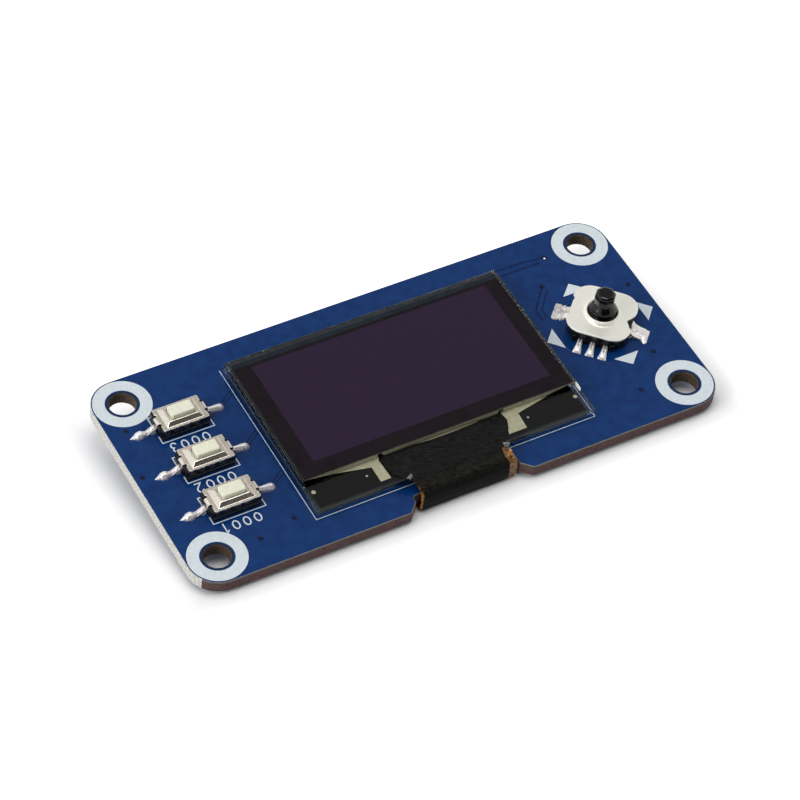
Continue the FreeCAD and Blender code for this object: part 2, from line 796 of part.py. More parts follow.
def joystick_terminals():
    """Six leads, three on each of two opposite sides, that step down to the board."""
    body = new_body("joystick_terminals")
    low, sheet_z = dim.joystick_lead_height, dim.joystick_lead_thickness
    root_y = half_housing - dim.joystick_lead_root
    profile = new_sketch(body, "YZ_Plane", -dim.joystick_lead_pitch)
    outline(profile, [
        (root_y, low), (half_housing, low), (lead_foot_y, Size.of(0)), (lead_tip_y, Size.of(0)),
        (lead_tip_y, sheet_z), (lead_foot_y, sheet_z),
        (half_housing, low + sheet_z), (root_y, low + sheet_z),
    ])
    lead = pad(body, profile, dim.joystick_lead_width, both_ways=True)
    row = row_of(body, [lead], "X_Axis", dim.joystick_lead_pitch, Size.of(3))
    other = body.newObject("PartDesign::Mirrored", "joystick_terminals_mirror")
    other.TransformMode = "Whole shape"
    other.Originals = [row]
    other.MirrorPlane = (origin_plane(body, "XZ_Plane"), [""])
    body.Tip = other
    place_joystick(body)


def joystick_contact_plate():
    """The sprung contact sheet on the floor, with the dome under the post."""
    body = new_body("joystick_contact_plate")
    low, sheet_z = dim.joystick_floor, dim.contact_plate_sheet
    rim, rise = dim.contact_dome_radius, dim.contact_dome_rise
    plate_radius = joystick_cavity_radius - dim.contact_plate_gap
    sketch = new_sketch(body, "XZ_Plane")
    outline(sketch, [
        (Size.of(0), low + rise), (rim / 2, low + rise * 0.75), (rim, low),
        (plate_radius, low), (plate_radius, low + sheet_z),
        (rim, low + sheet_z), (rim / 2, low + sheet_z + rise * 0.75),
        (Size.of(0), low + sheet_z + rise),
    ])
    revolve(body, sketch)
    place_joystick(body)


def joystick_drive_ring():
    body = new_body("joystick_drive_ring")
    sketch = new_sketch(body, offset=dim.drive_ring_height)
    circle(sketch, drive_ring_radius)
    circle(sketch, drive_ring_radius - dim.drive_ring_width)
    pad(body, sketch, dim.drive_ring_thickness)
    place_joystick(body)


def joystick_collar():
    """The stepped collar in the cover's hole, which guides the post."""
    body = new_body("joystick_collar")
    low, flange_top = dim.collar_height, dim.collar_height + dim.collar_flange_thickness
    flange_radius = joystick_hole_radius + dim.collar_flange_lap
    top_radius = collar_radius - dim.collar_step_width
    profile = new_sketch(body, "XZ_Plane")
    outline(profile, [
        (Size.of(0), low), (flange_radius, low),
        (flange_radius, flange_top), (collar_radius, flange_top),
        (collar_radius, dim.collar_step_height), (top_radius, dim.collar_step_height),
        (top_radius, dim.collar_top_height), (Size.of(0), dim.collar_top_height),
    ])
    revolve(body, profile)
    bore = new_sketch(body, offset=dim.collar_top_height)
    octagon(bore, dim.post_flats + 2 * dim.post_clearance)
    pocket(body, bore)
    place_joystick(body)


def joystick_post():
    """The eight-sided stick, with a round foot that presses the middle dome."""
    body = new_body("joystick_post")
    shaft = new_sketch(body, offset=dim.post_shoulder)
    octagon(shaft, dim.post_flats)
    stick = pad(body, shaft, dim.post_top - dim.post_shoulder)
    doc.recompute()
    top_face = max(range(len(stick.Shape.Faces)), key=lambda i: stick.Shape.Faces[i].CenterOfMass.z)
    edge_break = body.newObject("PartDesign::Chamfer", "joystick_post_chamfer")
    edge_break.Base = (stick, [f"Face{top_face + 1}"])
    bind(edge_break, "Size", dim.post_chamfer)
    foot_bottom = contact_plate_top + dim.contact_dome_rise + dim.post_foot_gap
    foot = new_sketch(body, offset=foot_bottom)
    circle(foot, dim.post_foot_radius)
    pad(body, foot, dim.post_shoulder - foot_bottom)
    place_joystick(body)


def joystick_cover():
    """The pressed metal cover: a rounded square with a raised boss, and two solder tabs."""
    body = new_body("joystick_cover")
    low, sheet_z = dim.joystick_housing_height, dim.joystick_cover_sheet
    recess_x = joystick_cover_side / 2 - dim.joystick_recess_depth
    lid = new_sketch(body, offset=low)
    rectangle(lid, joystick_cover_side, joystick_cover_side,
              radius=dim.joystick_housing_corner + dim.joystick_cover_overhang)
    pad(body, lid, sheet_z)
    opening = new_sketch(body, offset=joystick_cover_top)
    circle(opening, joystick_boss_radius - dim.joystick_boss_wall)
    for way in (-1, 1):
        rectangle(opening, dim.joystick_recess_depth * 2, dim.joystick_recess_width,
                  (recess_x + dim.joystick_recess_depth) * way)
    pocket(body, opening)
    wall, lip = dim.joystick_boss_wall, joystick_boss_top - sheet_z
    boss = new_sketch(body, "XZ_Plane")
    outline(boss, [
        (joystick_boss_radius - wall, low), (joystick_boss_radius, low),
        (joystick_boss_radius, joystick_cover_top),
        (joystick_boss_top_radius, joystick_boss_top),
        (joystick_hole_radius, joystick_boss_top),
        (joystick_hole_radius, lip), (joystick_boss_top_radius - wall, lip),
    ])
    revolve(body, boss)
    tab = new_sketch(body, "XZ_Plane")
    inner_x = tab_outer_x - sheet_z
    root_x = recess_x - sheet_z
    outline(tab, [
        (root_x, low), (inner_x, low), (inner_x, Size.of(0)), (tab_tip_x, Size.of(0)),
        (tab_tip_x, sheet_z), (tab_outer_x, sheet_z),
        (tab_outer_x, joystick_cover_top, dim.joystick_tab_bend), (root_x, joystick_cover_top),
    ])
    tabs = pad(body, tab, dim.joystick_tab_width, both_ways=True)
    mirror(body, [tabs])
    place_joystick(body)


def joystick_solder():
    body = new_body("joystick_solder")
    sheet_z = dim.joystick_cover_sheet
    tab_features = solder_cap(
        body, "XZ_Plane", tab_outer_x, tab_tip_x + sheet_z, dim.tab_solder_height,
        dim.tab_solder_width, tab_tip_x, dim.joystick_tab_width, sheet_z)
    mirror(body, tab_features)
    toe_y = lead_tip_y + dim.joystick_solder_height
    start_y = lead_foot_y + dim.joystick_lead_thickness
    for way in (-1, 0, 1):
        for end in (-1, 1):
            cap = new_sketch(body, "YZ_Plane", dim.joystick_lead_pitch * way)
            rounding = dim.joystick_solder_height / 2
            outline(cap, [
                (start_y * end, Size.of(0)), (toe_y * end, Size.of(0)),
                ((toe_y - rounding) * end, dim.joystick_solder_height),
                ((start_y + rounding) * end, dim.joystick_solder_height),
            ])
            pad(body, cap, dim.joystick_solder_width, both_ways=True)
    tunnels = new_sketch(body, "XZ_Plane")
    for way in (-1, 0, 1):
        rectangle(tunnels, dim.joystick_lead_width, dim.joystick_lead_thickness,
                  dim.joystick_lead_pitch * way, dim.joystick_lead_thickness / 2)
    pocket(body, tunnels, 2 * lead_tip_y, both_ways=True)
    place_joystick(body)


# Pin socket under the back edge

header_y = mounting_y
header_first_x = dim.header_pitch * (dim.header_columns - 1) / -2
header_mouth_z = -dim.header_height


def header_housing():
    body = new_body("header_housing")
    block = new_sketch(body, offset=header_mouth_z)
    length = dim.header_pitch * dim.header_columns + 2 * dim.header_end_wall
    rectangle(block, length, dim.header_depth, Size.of(0), header_y)
    pad(body, block, dim.header_height - dim.header_standoff)
    features = []
    for row in (-1, 1):
        row_y = header_y + dim.header_pitch * (row / 2)
        cavity = new_sketch(body, offset=header_mouth_z)
        rectangle(cavity, dim.header_cavity, dim.header_cavity, header_first_x, row_y)
        features.append(pocket(body, cavity, upward=True))
        mouth_size = dim.header_cavity + 2 * dim.header_lead_in
        mouth = new_sketch(body, offset=header_mouth_z)
        rectangle(mouth, mouth_size, mouth_size, header_first_x, row_y)
        throat = new_sketch(body, offset=header_mouth_z + dim.header_lead_in)
        rectangle(throat, dim.header_cavity, dim.header_cavity, header_first_x, row_y)
        features.append(loft(body, mouth, throat, "SubtractiveLoft"))
    row_of(body, features, "X_Axis", dim.header_pitch, dim.header_columns)


def header_contacts():
    """Two rows of sheet contacts: a blade in each cavity and a foot on the board."""
    body = new_body("header_contacts")
    profile = new_sketch(body, "YZ_Plane", header_first_x)
    outer_y = (dim.header_pitch + dim.header_cavity) / 2
    blade_y = outer_y - dim.contact_sheet
    tip_z = header_mouth_z + dim.contact_tip_recess
    for row in (-1, 1):
        outline(profile, [
            (header_y + blade_y * row, tip_z), (header_y + outer_y * row, tip_z),
            (header_y + outer_y * row, -dim.contact_foot_sheet),
            (header_y + dim.contact_foot_reach * row, -dim.contact_foot_sheet),
            (header_y + dim.contact_foot_reach * row, Size.of(0)),
            (header_y + blade_y * row, Size.of(0)),
        ])
    pair = pad(body, profile, dim.contact_width, both_ways=True)
    row_of(body, [pair], "X_Axis", dim.header_pitch, dim.header_columns)


# Small parts on the underside

def passive_row(label, count, height, row_y):
    body = new_body(label)
    first_x = dim.passive_pitch * (count - 1) / -2
    sketch = new_sketch(body, offset=-height)
    rectangle(sketch, dim.passive_width, dim.passive_length, first_x, row_y)
    chip = pad(body, sketch, height)
    row_of(body, [chip], "X_Axis", dim.passive_pitch, count)


# Build, check and write

def check(parts):
    """Stop on a failed feature, an empty or broken shape, or a cut that removes nothing."""
    for item in doc.Objects:
        if any(state in ("Invalid", "Error") for state in item.State):
            raise RuntimeError(f"{item.Label} did not build: {item.State}")
    cuts = ("PartDesign::Pocket", "PartDesign::SubtractiveLoft")
    for item in doc.Objects:
        if item.TypeId in cuts and item.Shape.Volume >= item.BaseFeature.Shape.Volume - 1e-6:
            raise RuntimeError(f"{item.Label} cuts nothing")
    for part in parts:
        if part.Shape.isNull() or not part.Shape.isValid() or not part.Shape.Solids:
            raise RuntimeError(f"{part.Label} has no sound shape")


circuit_board()
display_panel()
flex()
flex_tape()
keys()
key_solder()
joystick_housing()
joystick_terminals()
joystick_contact_plate()
joystick_drive_ring()
joystick_collar()
joystick_post()
joystick_cover()
joystick_solder()
header_housing()
header_contacts()
passive_row("board_capacitors", dim.capacitor_count, dim.capacitor_height, dim.capacitor_row_y)
passive_row("board_resistors", dim.resistor_count, dim.resistor_height, dim.resistor_row_y)
doc.recompute()

bodies = [item for item in doc.Objects if item.TypeId == "PartDesign::Body"]
check(bodies)
os.makedirs("parts", exist_ok=True)
for part in bodies:
    part.Shape.exportStep(f"parts/{part.Label}.step")
    print(f"{part.Label}: {len(part.Shape.Solids)} solids, {part.Shape.Volume:.3f} mm3")
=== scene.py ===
import bpy
import math
from mathutils import Matrix, Vector, noise
from mathutils.geometry import tessellate_polygon


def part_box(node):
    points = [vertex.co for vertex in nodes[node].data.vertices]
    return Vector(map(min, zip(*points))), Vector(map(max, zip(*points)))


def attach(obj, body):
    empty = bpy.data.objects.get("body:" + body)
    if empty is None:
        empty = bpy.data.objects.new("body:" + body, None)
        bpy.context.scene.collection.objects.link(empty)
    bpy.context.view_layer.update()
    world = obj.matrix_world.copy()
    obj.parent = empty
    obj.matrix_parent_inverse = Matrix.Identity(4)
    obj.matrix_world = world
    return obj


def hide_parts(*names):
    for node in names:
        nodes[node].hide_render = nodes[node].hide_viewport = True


# The looks of a small display board: laminate with blue solder mask and white print, a glass
# panel with a taped flex, three push keys and a five-way joystick. Shapes are drawn in
# millimetres in the CAD frame, where the board's underside is z = 0.

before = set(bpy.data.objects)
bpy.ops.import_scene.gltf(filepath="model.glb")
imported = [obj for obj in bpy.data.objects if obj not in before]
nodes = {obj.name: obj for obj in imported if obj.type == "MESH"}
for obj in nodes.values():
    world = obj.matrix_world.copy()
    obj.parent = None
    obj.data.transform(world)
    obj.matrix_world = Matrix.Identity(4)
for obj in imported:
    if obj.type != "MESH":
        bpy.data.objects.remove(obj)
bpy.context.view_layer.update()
MM = 0.001


def box_mm(node):
    low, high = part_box(node)
    return low / MM, high / MM


def middle_mm(node):
    low, high = box_mm(node)
    return (low + high) / 2


# Points and faces

def turned_in(points, faces):
    """Whether the faces of a closed solid look inward."""
    volume = 0.0
    for face in faces:
        a = Vector(points[face[0]])
        for b, c in zip(face[1:], face[2:]):
            volume += a.dot(Vector(points[b]).cross(Vector(points[c])))
    return volume < 0


class Form:
    """Points and faces of one piece in millimetres, with a paint number for each face."""

    def __init__(self):
        self.points = []
        self.faces = []
        self.paint = []

    def add(self, points, faces, paint=0):
        first = len(self.points)
        self.points += [Vector(point) for point in points]
        self.faces += [[first + i for i in face] for face in faces]
        self.paint += [paint] * len(faces)

    def skin(self, rings, paint=0, closed=True, cap_first=False, cap_last=False):
        """Quads between rings that have the same number of points."""
        count = len(rings[0])
        points = [point for ring in rings for point in ring]
        faces = []
        for r in range(len(rings) - 1):
            for i in range(count if closed else count - 1):
                j = (i + 1) % count
                faces.append([r * count + i, r * count + j, (r + 1) * count + j, (r + 1) * count + i])
        if cap_first:
            faces.append(list(range(count))[::-1])
        if cap_last:
            faces.append([(len(rings) - 1) * count + i for i in range(count)])
        if cap_first and cap_last and turned_in(points, faces):
            faces = [face[::-1] for face in faces]
        self.add(points, faces, paint)

    def solid(self, rings, paint=0):
        self.skin(rings, paint, cap_first=True, cap_last=True)


def new_object(name, data):
    thing = bpy.data.objects.new(name, data)
    bpy.context.scene.collection.objects.link(thing)
    return thing


def piece(name, form, slot, paints, node=None, body="board", move=Matrix.Identity(4), crease=35):
    """Make a mesh object from a form, let it ride on a body, and let it replace a node if one is named."""
    mesh = bpy.data.meshes.new(name)
    mesh.from_pydata([(move @ point) * MM for point in form.points], [], form.faces)
    for paint in paints:
        mesh.materials.append(paint)
    mesh.polygons.foreach_set("material_index", form.paint)
    mesh.polygons.foreach_set("use_smooth", [True] * len(mesh.polygons))
    mesh.validate()
    mesh.set_sharp_from_angle(angle=math.radians(crease))
    thing = new_object(name, mesh)
    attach(thing, body)
    if node:
        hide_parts(node)


def turned_corner(before, spot, after, radius, steps):
    """Points on the arc that rounds the corner at a spot between two others."""
    back, ahead = (before - spot).normalized(), (after - spot).normalized()
    half_angle = back.angle(ahead) / 2
    centre = spot + (back + ahead).normalized() * (radius / math.sin(half_angle))
    start = spot + back * (radius / math.tan(half_angle)) - centre
    end = spot + ahead * (radius / math.tan(half_angle)) - centre
    sweep = start.angle_signed(end)
    return [centre + Matrix.Rotation(-sweep * k / steps, 2) @ start for k in range(steps + 1)]


def rounded(corners, steps=5):
    """A closed outline through (x, y) or (x, y, radius) corners, as flat points."""
    spots = [Vector(corner[:2]) for corner in corners]
    points = []
    for i, corner in enumerate(corners):
        if len(corner) == 2 or corner[2] <= 0:
            points.append(spots[i])
        else:
            after = spots[(i + 1) % len(spots)]
            points += turned_corner(spots[i - 1], spots[i], after, corner[2], steps)
    return points


def box_outline(width, depth, radius=0, x=0, y=0, steps=5):
    half_x, half_y = width / 2, depth / 2
    signs = ((-1, -1), (1, -1), (1, 1), (-1, 1))
    return rounded([(x + sx * half_x, y + sy * half_y, radius) for sx, sy in signs], steps)


def mirrored(corners):
    """The (x, y, radius) corners of one half as those of the other, in the order that goes on round."""
    return [(-x, y, radius) for x, y, radius in corners[::-1]]


def round_outline(radius, x=0, y=0, count=48):
    angles = [2 * math.pi * k / count for k in range(count)]
    return [Vector((x + radius * math.cos(a), y + radius * math.sin(a))) for a in angles]


def grown(outline, distance):
    """The outline moved outward by a small distance (inward if negative)."""
    count = len(outline)
    moved = []
    for i in range(count):
        into = (outline[i] - outline[i - 1]).normalized()
        out = (outline[(i + 1) % count] - outline[i]).normalized()
        side = Vector((into.y + out.y, -into.x - out.x)).normalized()
        moved.append(outline[i] + side * (distance / max(0.3, side.dot(Vector((into.y, -into.x))))))
    return moved


def level(outline, z):
    return [(point[0], point[1], z) for point in outline]


def rim(low, high, low_radius, high_radius, steps=2):
    """Heights and insets of a wall whose two rims are rounded, and the step at which the wall starts."""
    heights = []
    for k in range(steps + 1 if low_radius else 1):
        angle = math.pi / 2 * (k / steps if low_radius else 1)
        heights.append((low + low_radius * (1 - math.cos(angle)), low_radius * (1 - math.sin(angle))))
    wall = len(heights) - 1
    for k in range(steps + 1 if high_radius else 1):
        angle = math.pi / 2 * (k / steps)
        heights.append((high - high_radius * (1 - math.sin(angle)), high_radius * (1 - math.cos(angle))))
    return heights, wall


def slab(form, outline, low, high, edge=0.0, low_edge=None, holes=(), paint=0, side_paint=None,
         edge_paint=None, steps=2):
    """A flat solid with rounded rims and holes."""
    low_edge = edge if low_edge is None else low_edge
    side_paint = paint if side_paint is None else side_paint
    edge_paint = side_paint if edge_paint is None else edge_paint
    heights, wall = rim(low, high, low_edge, edge, steps)
    floors, lids = [], []
    for loop, way in [(outline, 1)] + [(hole, -1) for hole in holes]:
        rings = [level(grown(loop, -inset * way), z) for z, inset in heights]
        if way < 0:
            rings = [ring[::-1] for ring in rings]
        for first, last, colour in ((0, wall, edge_paint), (wall, wall + 1, side_paint),
                                    (wall + 1, len(heights) - 1, edge_paint)):
            if first < last:
                form.skin(rings[first:last + 1], colour)
        floors.append(rings[0])
        lids.append(rings[-1])
    for loops, flip in ((floors, True), (lids, False)):
        rings = [[Vector(point) for point in ring] for ring in loops]
        flat = [point for ring in rings for point in ring]
        faces = []
        for triangle in tessellate_polygon(rings):
            a, b, c = (flat[i] for i in triangle)
            upward = (b - a).cross(c - a).z > 0
            faces.append(list(triangle) if upward != flip else list(triangle)[::-1])
        form.add(flat, faces, paint)


def lathe(form, profile, paint=0, count=64, x=0, y=0):
    """Turn (radius, height) points about a vertical axis; a radius of 0 closes the end."""
    rings = []
    for radius, z in profile:
        rings.append(level(round_outline(max(radius, 0.0005), x, y, count), z))
    form.skin(rings, paint, cap_first=profile[0][0] == 0, cap_last=profile[-1][0] == 0)


def line_strip(form, points, width, low, high):
    """A flat printed or plated line along points, with round ends and joints."""
    spots = [Vector(point) for point in points]
    half = width / 2
    left, right = [], []
    for i, spot in enumerate(spots):
        into = (spot - spots[i - 1]).normalized() if i else None
        out = (spots[i + 1] - spot).normalized() if i < len(spots) - 1 else None
        along = ((into or out) + (out or into)).normalized()
        side = Vector((-along.y, along.x))
        reach = half / max(0.5, side.dot(Vector((-(out or into).y, (out or into).x))))
        left.append(spot + side * reach)
        right.append(spot - side * reach)
    start, end = [], []
    for k in (1, 2, 3, 4):
        start.append(spots[0] + Matrix.Rotation(-k * math.pi / 5, 2) @ (spots[0] - left[0]))
        end.append(spots[-1] + Matrix.Rotation(k * math.pi / 5, 2) @ (right[-1] - spots[-1]))
    slab(form, right + end + left[::-1] + start, low, high)


# Materials

def set_inputs(tree, node, values):
    """Give each named or numbered input a plain value, or a link from another node's output."""
    for name, value in values.items():
        if isinstance(value, bpy.types.NodeSocket):
            tree.links.new(value, node.inputs[name])
        else:
            node.inputs[name].default_value = value


def add_node(tree, kind, values=None):
    node = tree.nodes.new(kind)
    set_inputs(tree, node, values or {})
    return node


def node_output(tree, kind, name, values=None):
    return add_node(tree, kind, values).outputs[name]


def new_material(name):
    material = bpy.data.materials.new(name)
    material.use_nodes = True
    tree = material.node_tree
    return material, tree, tree.nodes["Principled BSDF"]


def linear(colour):
    """A screen colour of 0 to 255 as scene-linear numbers with full alpha."""
    parts = [channel / 255 for channel in colour]
    return [part / 12.92 if part <= 0.04045 else ((part + 0.055) / 1.055) ** 2.4 for part in parts] + [1]


def noise_node(tree, size, detail=3.0, stretch=(1, 1, 1), turn=0.0):
    """Noise with features of about this size in millimetres, drawn out along the stretched axes."""
    mapping = add_node(tree, "ShaderNodeMapping", {
        "Vector": node_output(tree, "ShaderNodeTexCoord", "Object"),
        "Rotation": (0, 0, math.radians(turn)), "Scale": stretch})
    mapping.vector_type = "TEXTURE"
    return node_output(tree, "ShaderNodeTexNoise", "Fac", {
        "Vector": mapping.outputs["Vector"], "Scale": 1 / (size * MM), "Detail": detail})


def colour_ramp(tree, factor, stops):
    """Colours of 0 to 255 at shares of a factor, with smooth steps between them."""
    ramp = add_node(tree, "ShaderNodeValToRGB", {"Fac": factor})
    marks = ramp.color_ramp.elements
    for k, (share, colour) in enumerate(stops):
        mark = marks[k] if k < 2 else marks.new(share)
        mark.position = share
        mark.color = linear(colour)
    return ramp.outputs["Color"]


def tint(tree, factor, dark, light):
    return colour_ramp(tree, factor, [(0.35, dark), (0.65, light)])


def map_range(tree, value, from_range, to_range, smooth=False):
    """A value moved from one range of plain numbers to another."""
    names = ("From Min", "From Max", "To Min", "To Max")
    node = add_node(tree, "ShaderNodeMapRange", {"Value": value, **dict(zip(names, from_range + to_range))})
    node.interpolation_type = "SMOOTHSTEP" if smooth else "LINEAR"
    return node.outputs["Result"]


def surface(name, dark, light, size, roughness, metallic=0.0, specular=0.5, grain=(0.05, 0.004, 0.3),
            stretch=(1, 1, 1), turn=0.0, detail=3.0):
    """Mottled colour, uneven roughness and a fine grain of this size, depth and strength."""
    material, tree, shader = new_material(name)
    mottle = noise_node(tree, size, detail, stretch, turn)
    grain_size, depth, strength = grain
    bump = node_output(tree, "ShaderNodeBump", "Normal", {
        "Height": noise_node(tree, grain_size, 2.0, stretch, turn), "Strength": strength,
        "Distance": depth * MM})
    set_inputs(tree, shader, {
        "Base Color": tint(tree, mottle, dark, light), "Metallic": metallic,
        "Roughness": map_range(tree, mottle, (0.0, 1.0), roughness),
        "Specular IOR Level": specular, "Normal": bump})
    return material


def paint_light_by_height(material, stops):
    """Painted light and shade: multiply a material's colour by colours set at heights in millimetres."""
    tree = material.node_tree
    shader = tree.nodes["Principled BSDF"]
    low, high = stops[0][0], stops[-1][0]
    place = node_output(tree, "ShaderNodeTexCoord", "Object")
    height = node_output(tree, "ShaderNodeSeparateXYZ", "Z", {"Vector": place})
    share = map_range(tree, height, (low * MM, high * MM), (0.0, 1.0))
    shade = colour_ramp(tree, share, [((z - low) / (high - low), colour) for z, colour in stops])
    mixer = add_node(tree, "ShaderNodeMix", {"Factor": 1.0})
    mixer.data_type = "RGBA"
    mixer.blend_type = "MULTIPLY"
    first, second = [socket for socket in mixer.inputs if socket.type == "RGBA"]
    tree.links.new(shader.inputs["Base Color"].links[0].from_socket, first)
    tree.links.new(shade, second)
    result = [socket for socket in mixer.outputs if socket.type == "RGBA"][0]
    set_inputs(tree, shader, {"Base Color": result})


def glass(name, light, dark):
    """Clear glass with a coat that mirrors and a very faint cloudy tint."""
    material, tree, shader = new_material(name)
    set_inputs(tree, shader, {
        "Base Color": tint(tree, noise_node(tree, 4.0, 2.0), dark, light),
        "Transmission Weight": 1.0, "IOR": 1.15, "Roughness": 0.0,
        "Coat Weight": 1.0, "Coat Roughness": 0.0, "Coat IOR": 1.45})
    return material


def pixel_material():
    """The dark purple pixel field behind its polariser, with the faint grid of the pixels."""
    material, tree, shader = new_material("pixel_field")
    grid = add_node(tree, "ShaderNodeTexBrick", {
        "Vector": node_output(tree, "ShaderNodeTexCoord", "Object"), "Scale": 1 / MM,
        "Brick Width": 0.23, "Row Height": 0.23, "Mortar Size": 0.03,
        "Color1": linear((46, 28, 52)), "Color2": linear((42, 27, 51)), "Mortar": linear((34, 22, 44))})
    grid.offset = 0
    set_inputs(tree, shader, {
        "Base Color": grid.outputs["Color"], "Roughness": 0.12, "Specular IOR Level": 0.3})
    return material


NO_GRAIN = (0.05, 0.004, 0.0)
MASK = surface("solder_mask", (6, 46, 100), (12, 54, 111), 1.4, (0.08, 0.14), specular=0.32,
               grain=(0.12, 0.002, 0.08))
# Mask over the copper lines, painted darker than the mask as the shade along their raised edges.
MASK_RAISED_SHADED = surface("solder_mask_on_copper_painted_shade", (3, 28, 72), (6, 36, 86), 0.8, (0.1, 0.16), specular=0.3)
PRINT = surface("white_print", (206, 216, 221), (216, 225, 230), 0.3, (0.5, 0.7), specular=0.2,
                grain=(0.08, 0.008, 0.3))
# Painted shade: a dark ring at the mouth of each hole.
HOLE_SHADE_RING = surface("painted_shade_ring_at_hole", (14, 26, 46), (22, 36, 58), 0.3, (0.5, 0.7), specular=0.2)
# Painted shade: a dark disc in the mouth of each via.
VIA_SHADE = surface("via_mouth_painted_shade", (6, 10, 20), (12, 16, 28), 0.2, (0.4, 0.6), specular=0.1)
EDGE_BROWN = surface("laminate_edge", (70, 50, 50), (104, 82, 80), 0.12, (0.6, 0.85), specular=0.2,
                     grain=(0.06, 0.02, 0.5), stretch=(3, 3, 1))
# Sawn laminate at the left end, painted far paler than the other sides as the light on that side: partly
# own colour, partly painted light.
EDGE_SAWN_LIT = surface("laminate_sawn_edge_painted_light", (172, 170, 164), (232, 230, 224), 0.14, (0.75, 0.95),
                    specular=0.2, grain=(0.05, 0.05, 0.7), stretch=(1.8, 1.8, 1))
# Pale bare fibre at the broken rim, lightened further as a painted highlight along the edge.
EDGE_PALE_HIGHLIGHT = surface("laminate_broken_rim_painted_highlight", (92, 95, 96), (132, 134, 131), 0.15, (0.6, 0.8), specular=0.2)
HOLE_WALL = surface("laminate_hole_wall", (66, 54, 44), (104, 88, 72), 0.2, (0.5, 0.8), specular=0.2,
                    grain=(0.08, 0.02, 0.6))
# Dark foam, painted lighter to stand in for the reflection off the ledge glass above it: painted
# reflection.
FOAM_WITH_REFLECTION = surface("black_foam_painted_reflection", (34, 37, 40), (40, 43, 46), 0.3, (0.8, 0.95), specular=0.2,
               grain=(0.1, 0.02, 0.3))
CLEAR = glass("clear_glass", (238, 242, 238), (228, 236, 230))
# Pale ground rim of the glasses and the film's cut sides, partly a painted highlight along the edges.
ARRIS_HIGHLIGHT = surface("ground_glass_rim_painted_highlight", (64, 68, 66), (86, 90, 86), 0.6, (0.35, 0.55), specular=0.4)
BORDER = surface("panel_border", (25, 20, 24), (29, 24, 28), 1.5, (0.08, 0.14), specular=0.12,
                 grain=NO_GRAIN)
# Painted reflection: the glass's back wall seen through its top, as two paler bands at the film's back.
BACK_BAND_REFLECTION = surface("panel_back_band_painted_reflection", (44, 48, 54), (54, 56, 60), 0.8, (0.1, 0.18), specular=0.12,
                     grain=NO_GRAIN)
INNER_BAND_REFLECTION = surface("panel_inner_band_painted_reflection", (30, 37, 45), (36, 42, 50), 0.8, (0.1, 0.18), specular=0.12,
                    grain=NO_GRAIN)
PIXELS = pixel_material()
SEAL = surface("panel_seal", (18, 20, 18), (26, 28, 24), 0.5, (0.4, 0.6))
GLUE_LINE = surface("panel_glue_line", (58, 60, 56), (74, 76, 70), 0.5, (0.3, 0.45))
# A bead at the glass corner, painted near white as the glint there: painted highlight.
GLUE_GLINT = surface("corner_glue_painted_glint", (236, 240, 232), (248, 250, 242), 0.3, (0.1, 0.2), specular=0.6)
CONDUCTOR = surface("transparent_conductor", (160, 157, 130), (178, 175, 148), 0.4, (0.3, 0.45),
                    metallic=0.25)
# The conductors as seen through the front glass's edge, painted on its face and made bright: painted light.
CONDUCTOR_EDGE_LIT = surface("conductor_painted_lit_on_glass_edge", (150, 150, 125), (170, 168, 140), 0.4, (0.2, 0.3))
SILICON = surface("silicon", (90, 92, 98), (120, 122, 128), 0.5, (0.1, 0.2), metallic=0.8)
AMBER = surface("polyimide", (34, 19, 2), (158, 104, 20), 0.4, (0.14, 0.26), grain=(0.2, 0.03, 0.25))
TAPE = surface("cloth_tape", (6, 7, 8), (40, 41, 38), 0.12, (0.4, 0.52), specular=0.06,
               grain=(0.07, 0.02, 0.6), stretch=(7, 1, 1), turn=-28, detail=4.0)
# Painted shade and highlight: a dark band down the tape's front face, a warm pale band under its shoulder.
paint_light_by_height(TAPE, [
    (-0.5, (255, 250, 250)), (0.7, (230, 230, 235)), (1.0, (60, 60, 70)), (1.8, (40, 40, 46)),
    (2.2, (190, 190, 190)), (2.6, (255, 240, 214)), (2.95, (210, 214, 216))])
TAPE_BACK = surface("cloth_tape_back", (84, 88, 88), (128, 130, 126), 0.2, (0.5, 0.7), stretch=(4, 1, 1),
                    turn=32)
BLACK_PLASTIC = surface("black_moulding", (10, 10, 11), (16, 16, 17), 0.3, (0.2, 0.32), specular=0.4,
                        grain=(0.05, 0.004, 0.15))
STICK_PLASTIC = surface("stick_plastic", (4, 4, 5), (8, 7, 8), 0.35, (0.08, 0.14), specular=0.45,
                        grain=(0.05, 0.004, 0.05))
KEY_METAL = surface("key_metal", (236, 228, 214), (242, 234, 222), 0.6, (0.22, 0.27), metallic=1.0,
                    grain=(0.08, 0.001, 0.1))
STICK_METAL = surface("joystick_metal", (248, 247, 236), (252, 251, 242), 0.6, (0.32, 0.36), metallic=0.55,
                      grain=(0.08, 0.001, 0.15))
TIN = surface("tinned_lead", (212, 206, 204), (230, 224, 222), 0.3, (0.3, 0.42), metallic=0.9)
SOLDER = surface("solder", (228, 223, 223), (247, 243, 243), 0.5, (0.3, 0.42), metallic=0.55,
                 grain=(0.3, 0.008, 0.2))
SOLDER_DULL = surface("solder_dull", (170, 166, 165), (220, 216, 214), 0.5, (0.35, 0.5), metallic=0.5,
                      grain=(0.2, 0.02, 0.5))
SPRING = surface("spring_sheet", (190, 188, 182), (206, 204, 198), 0.3, (0.25, 0.35), metallic=1.0)
IVORY = surface("ivory_plastic", (227, 228, 206), (234, 235, 214), 0.5, (0.4, 0.55), specular=0.3,
                grain=(0.06, 0.003, 0.3))
GOLD = surface("gold_contact", (212, 170, 80), (228, 190, 104), 0.3, (0.2, 0.3), metallic=1.0)
CERAMIC = surface("capacitor_ceramic", (142, 112, 84), (166, 134, 102), 0.3, (0.45, 0.6))
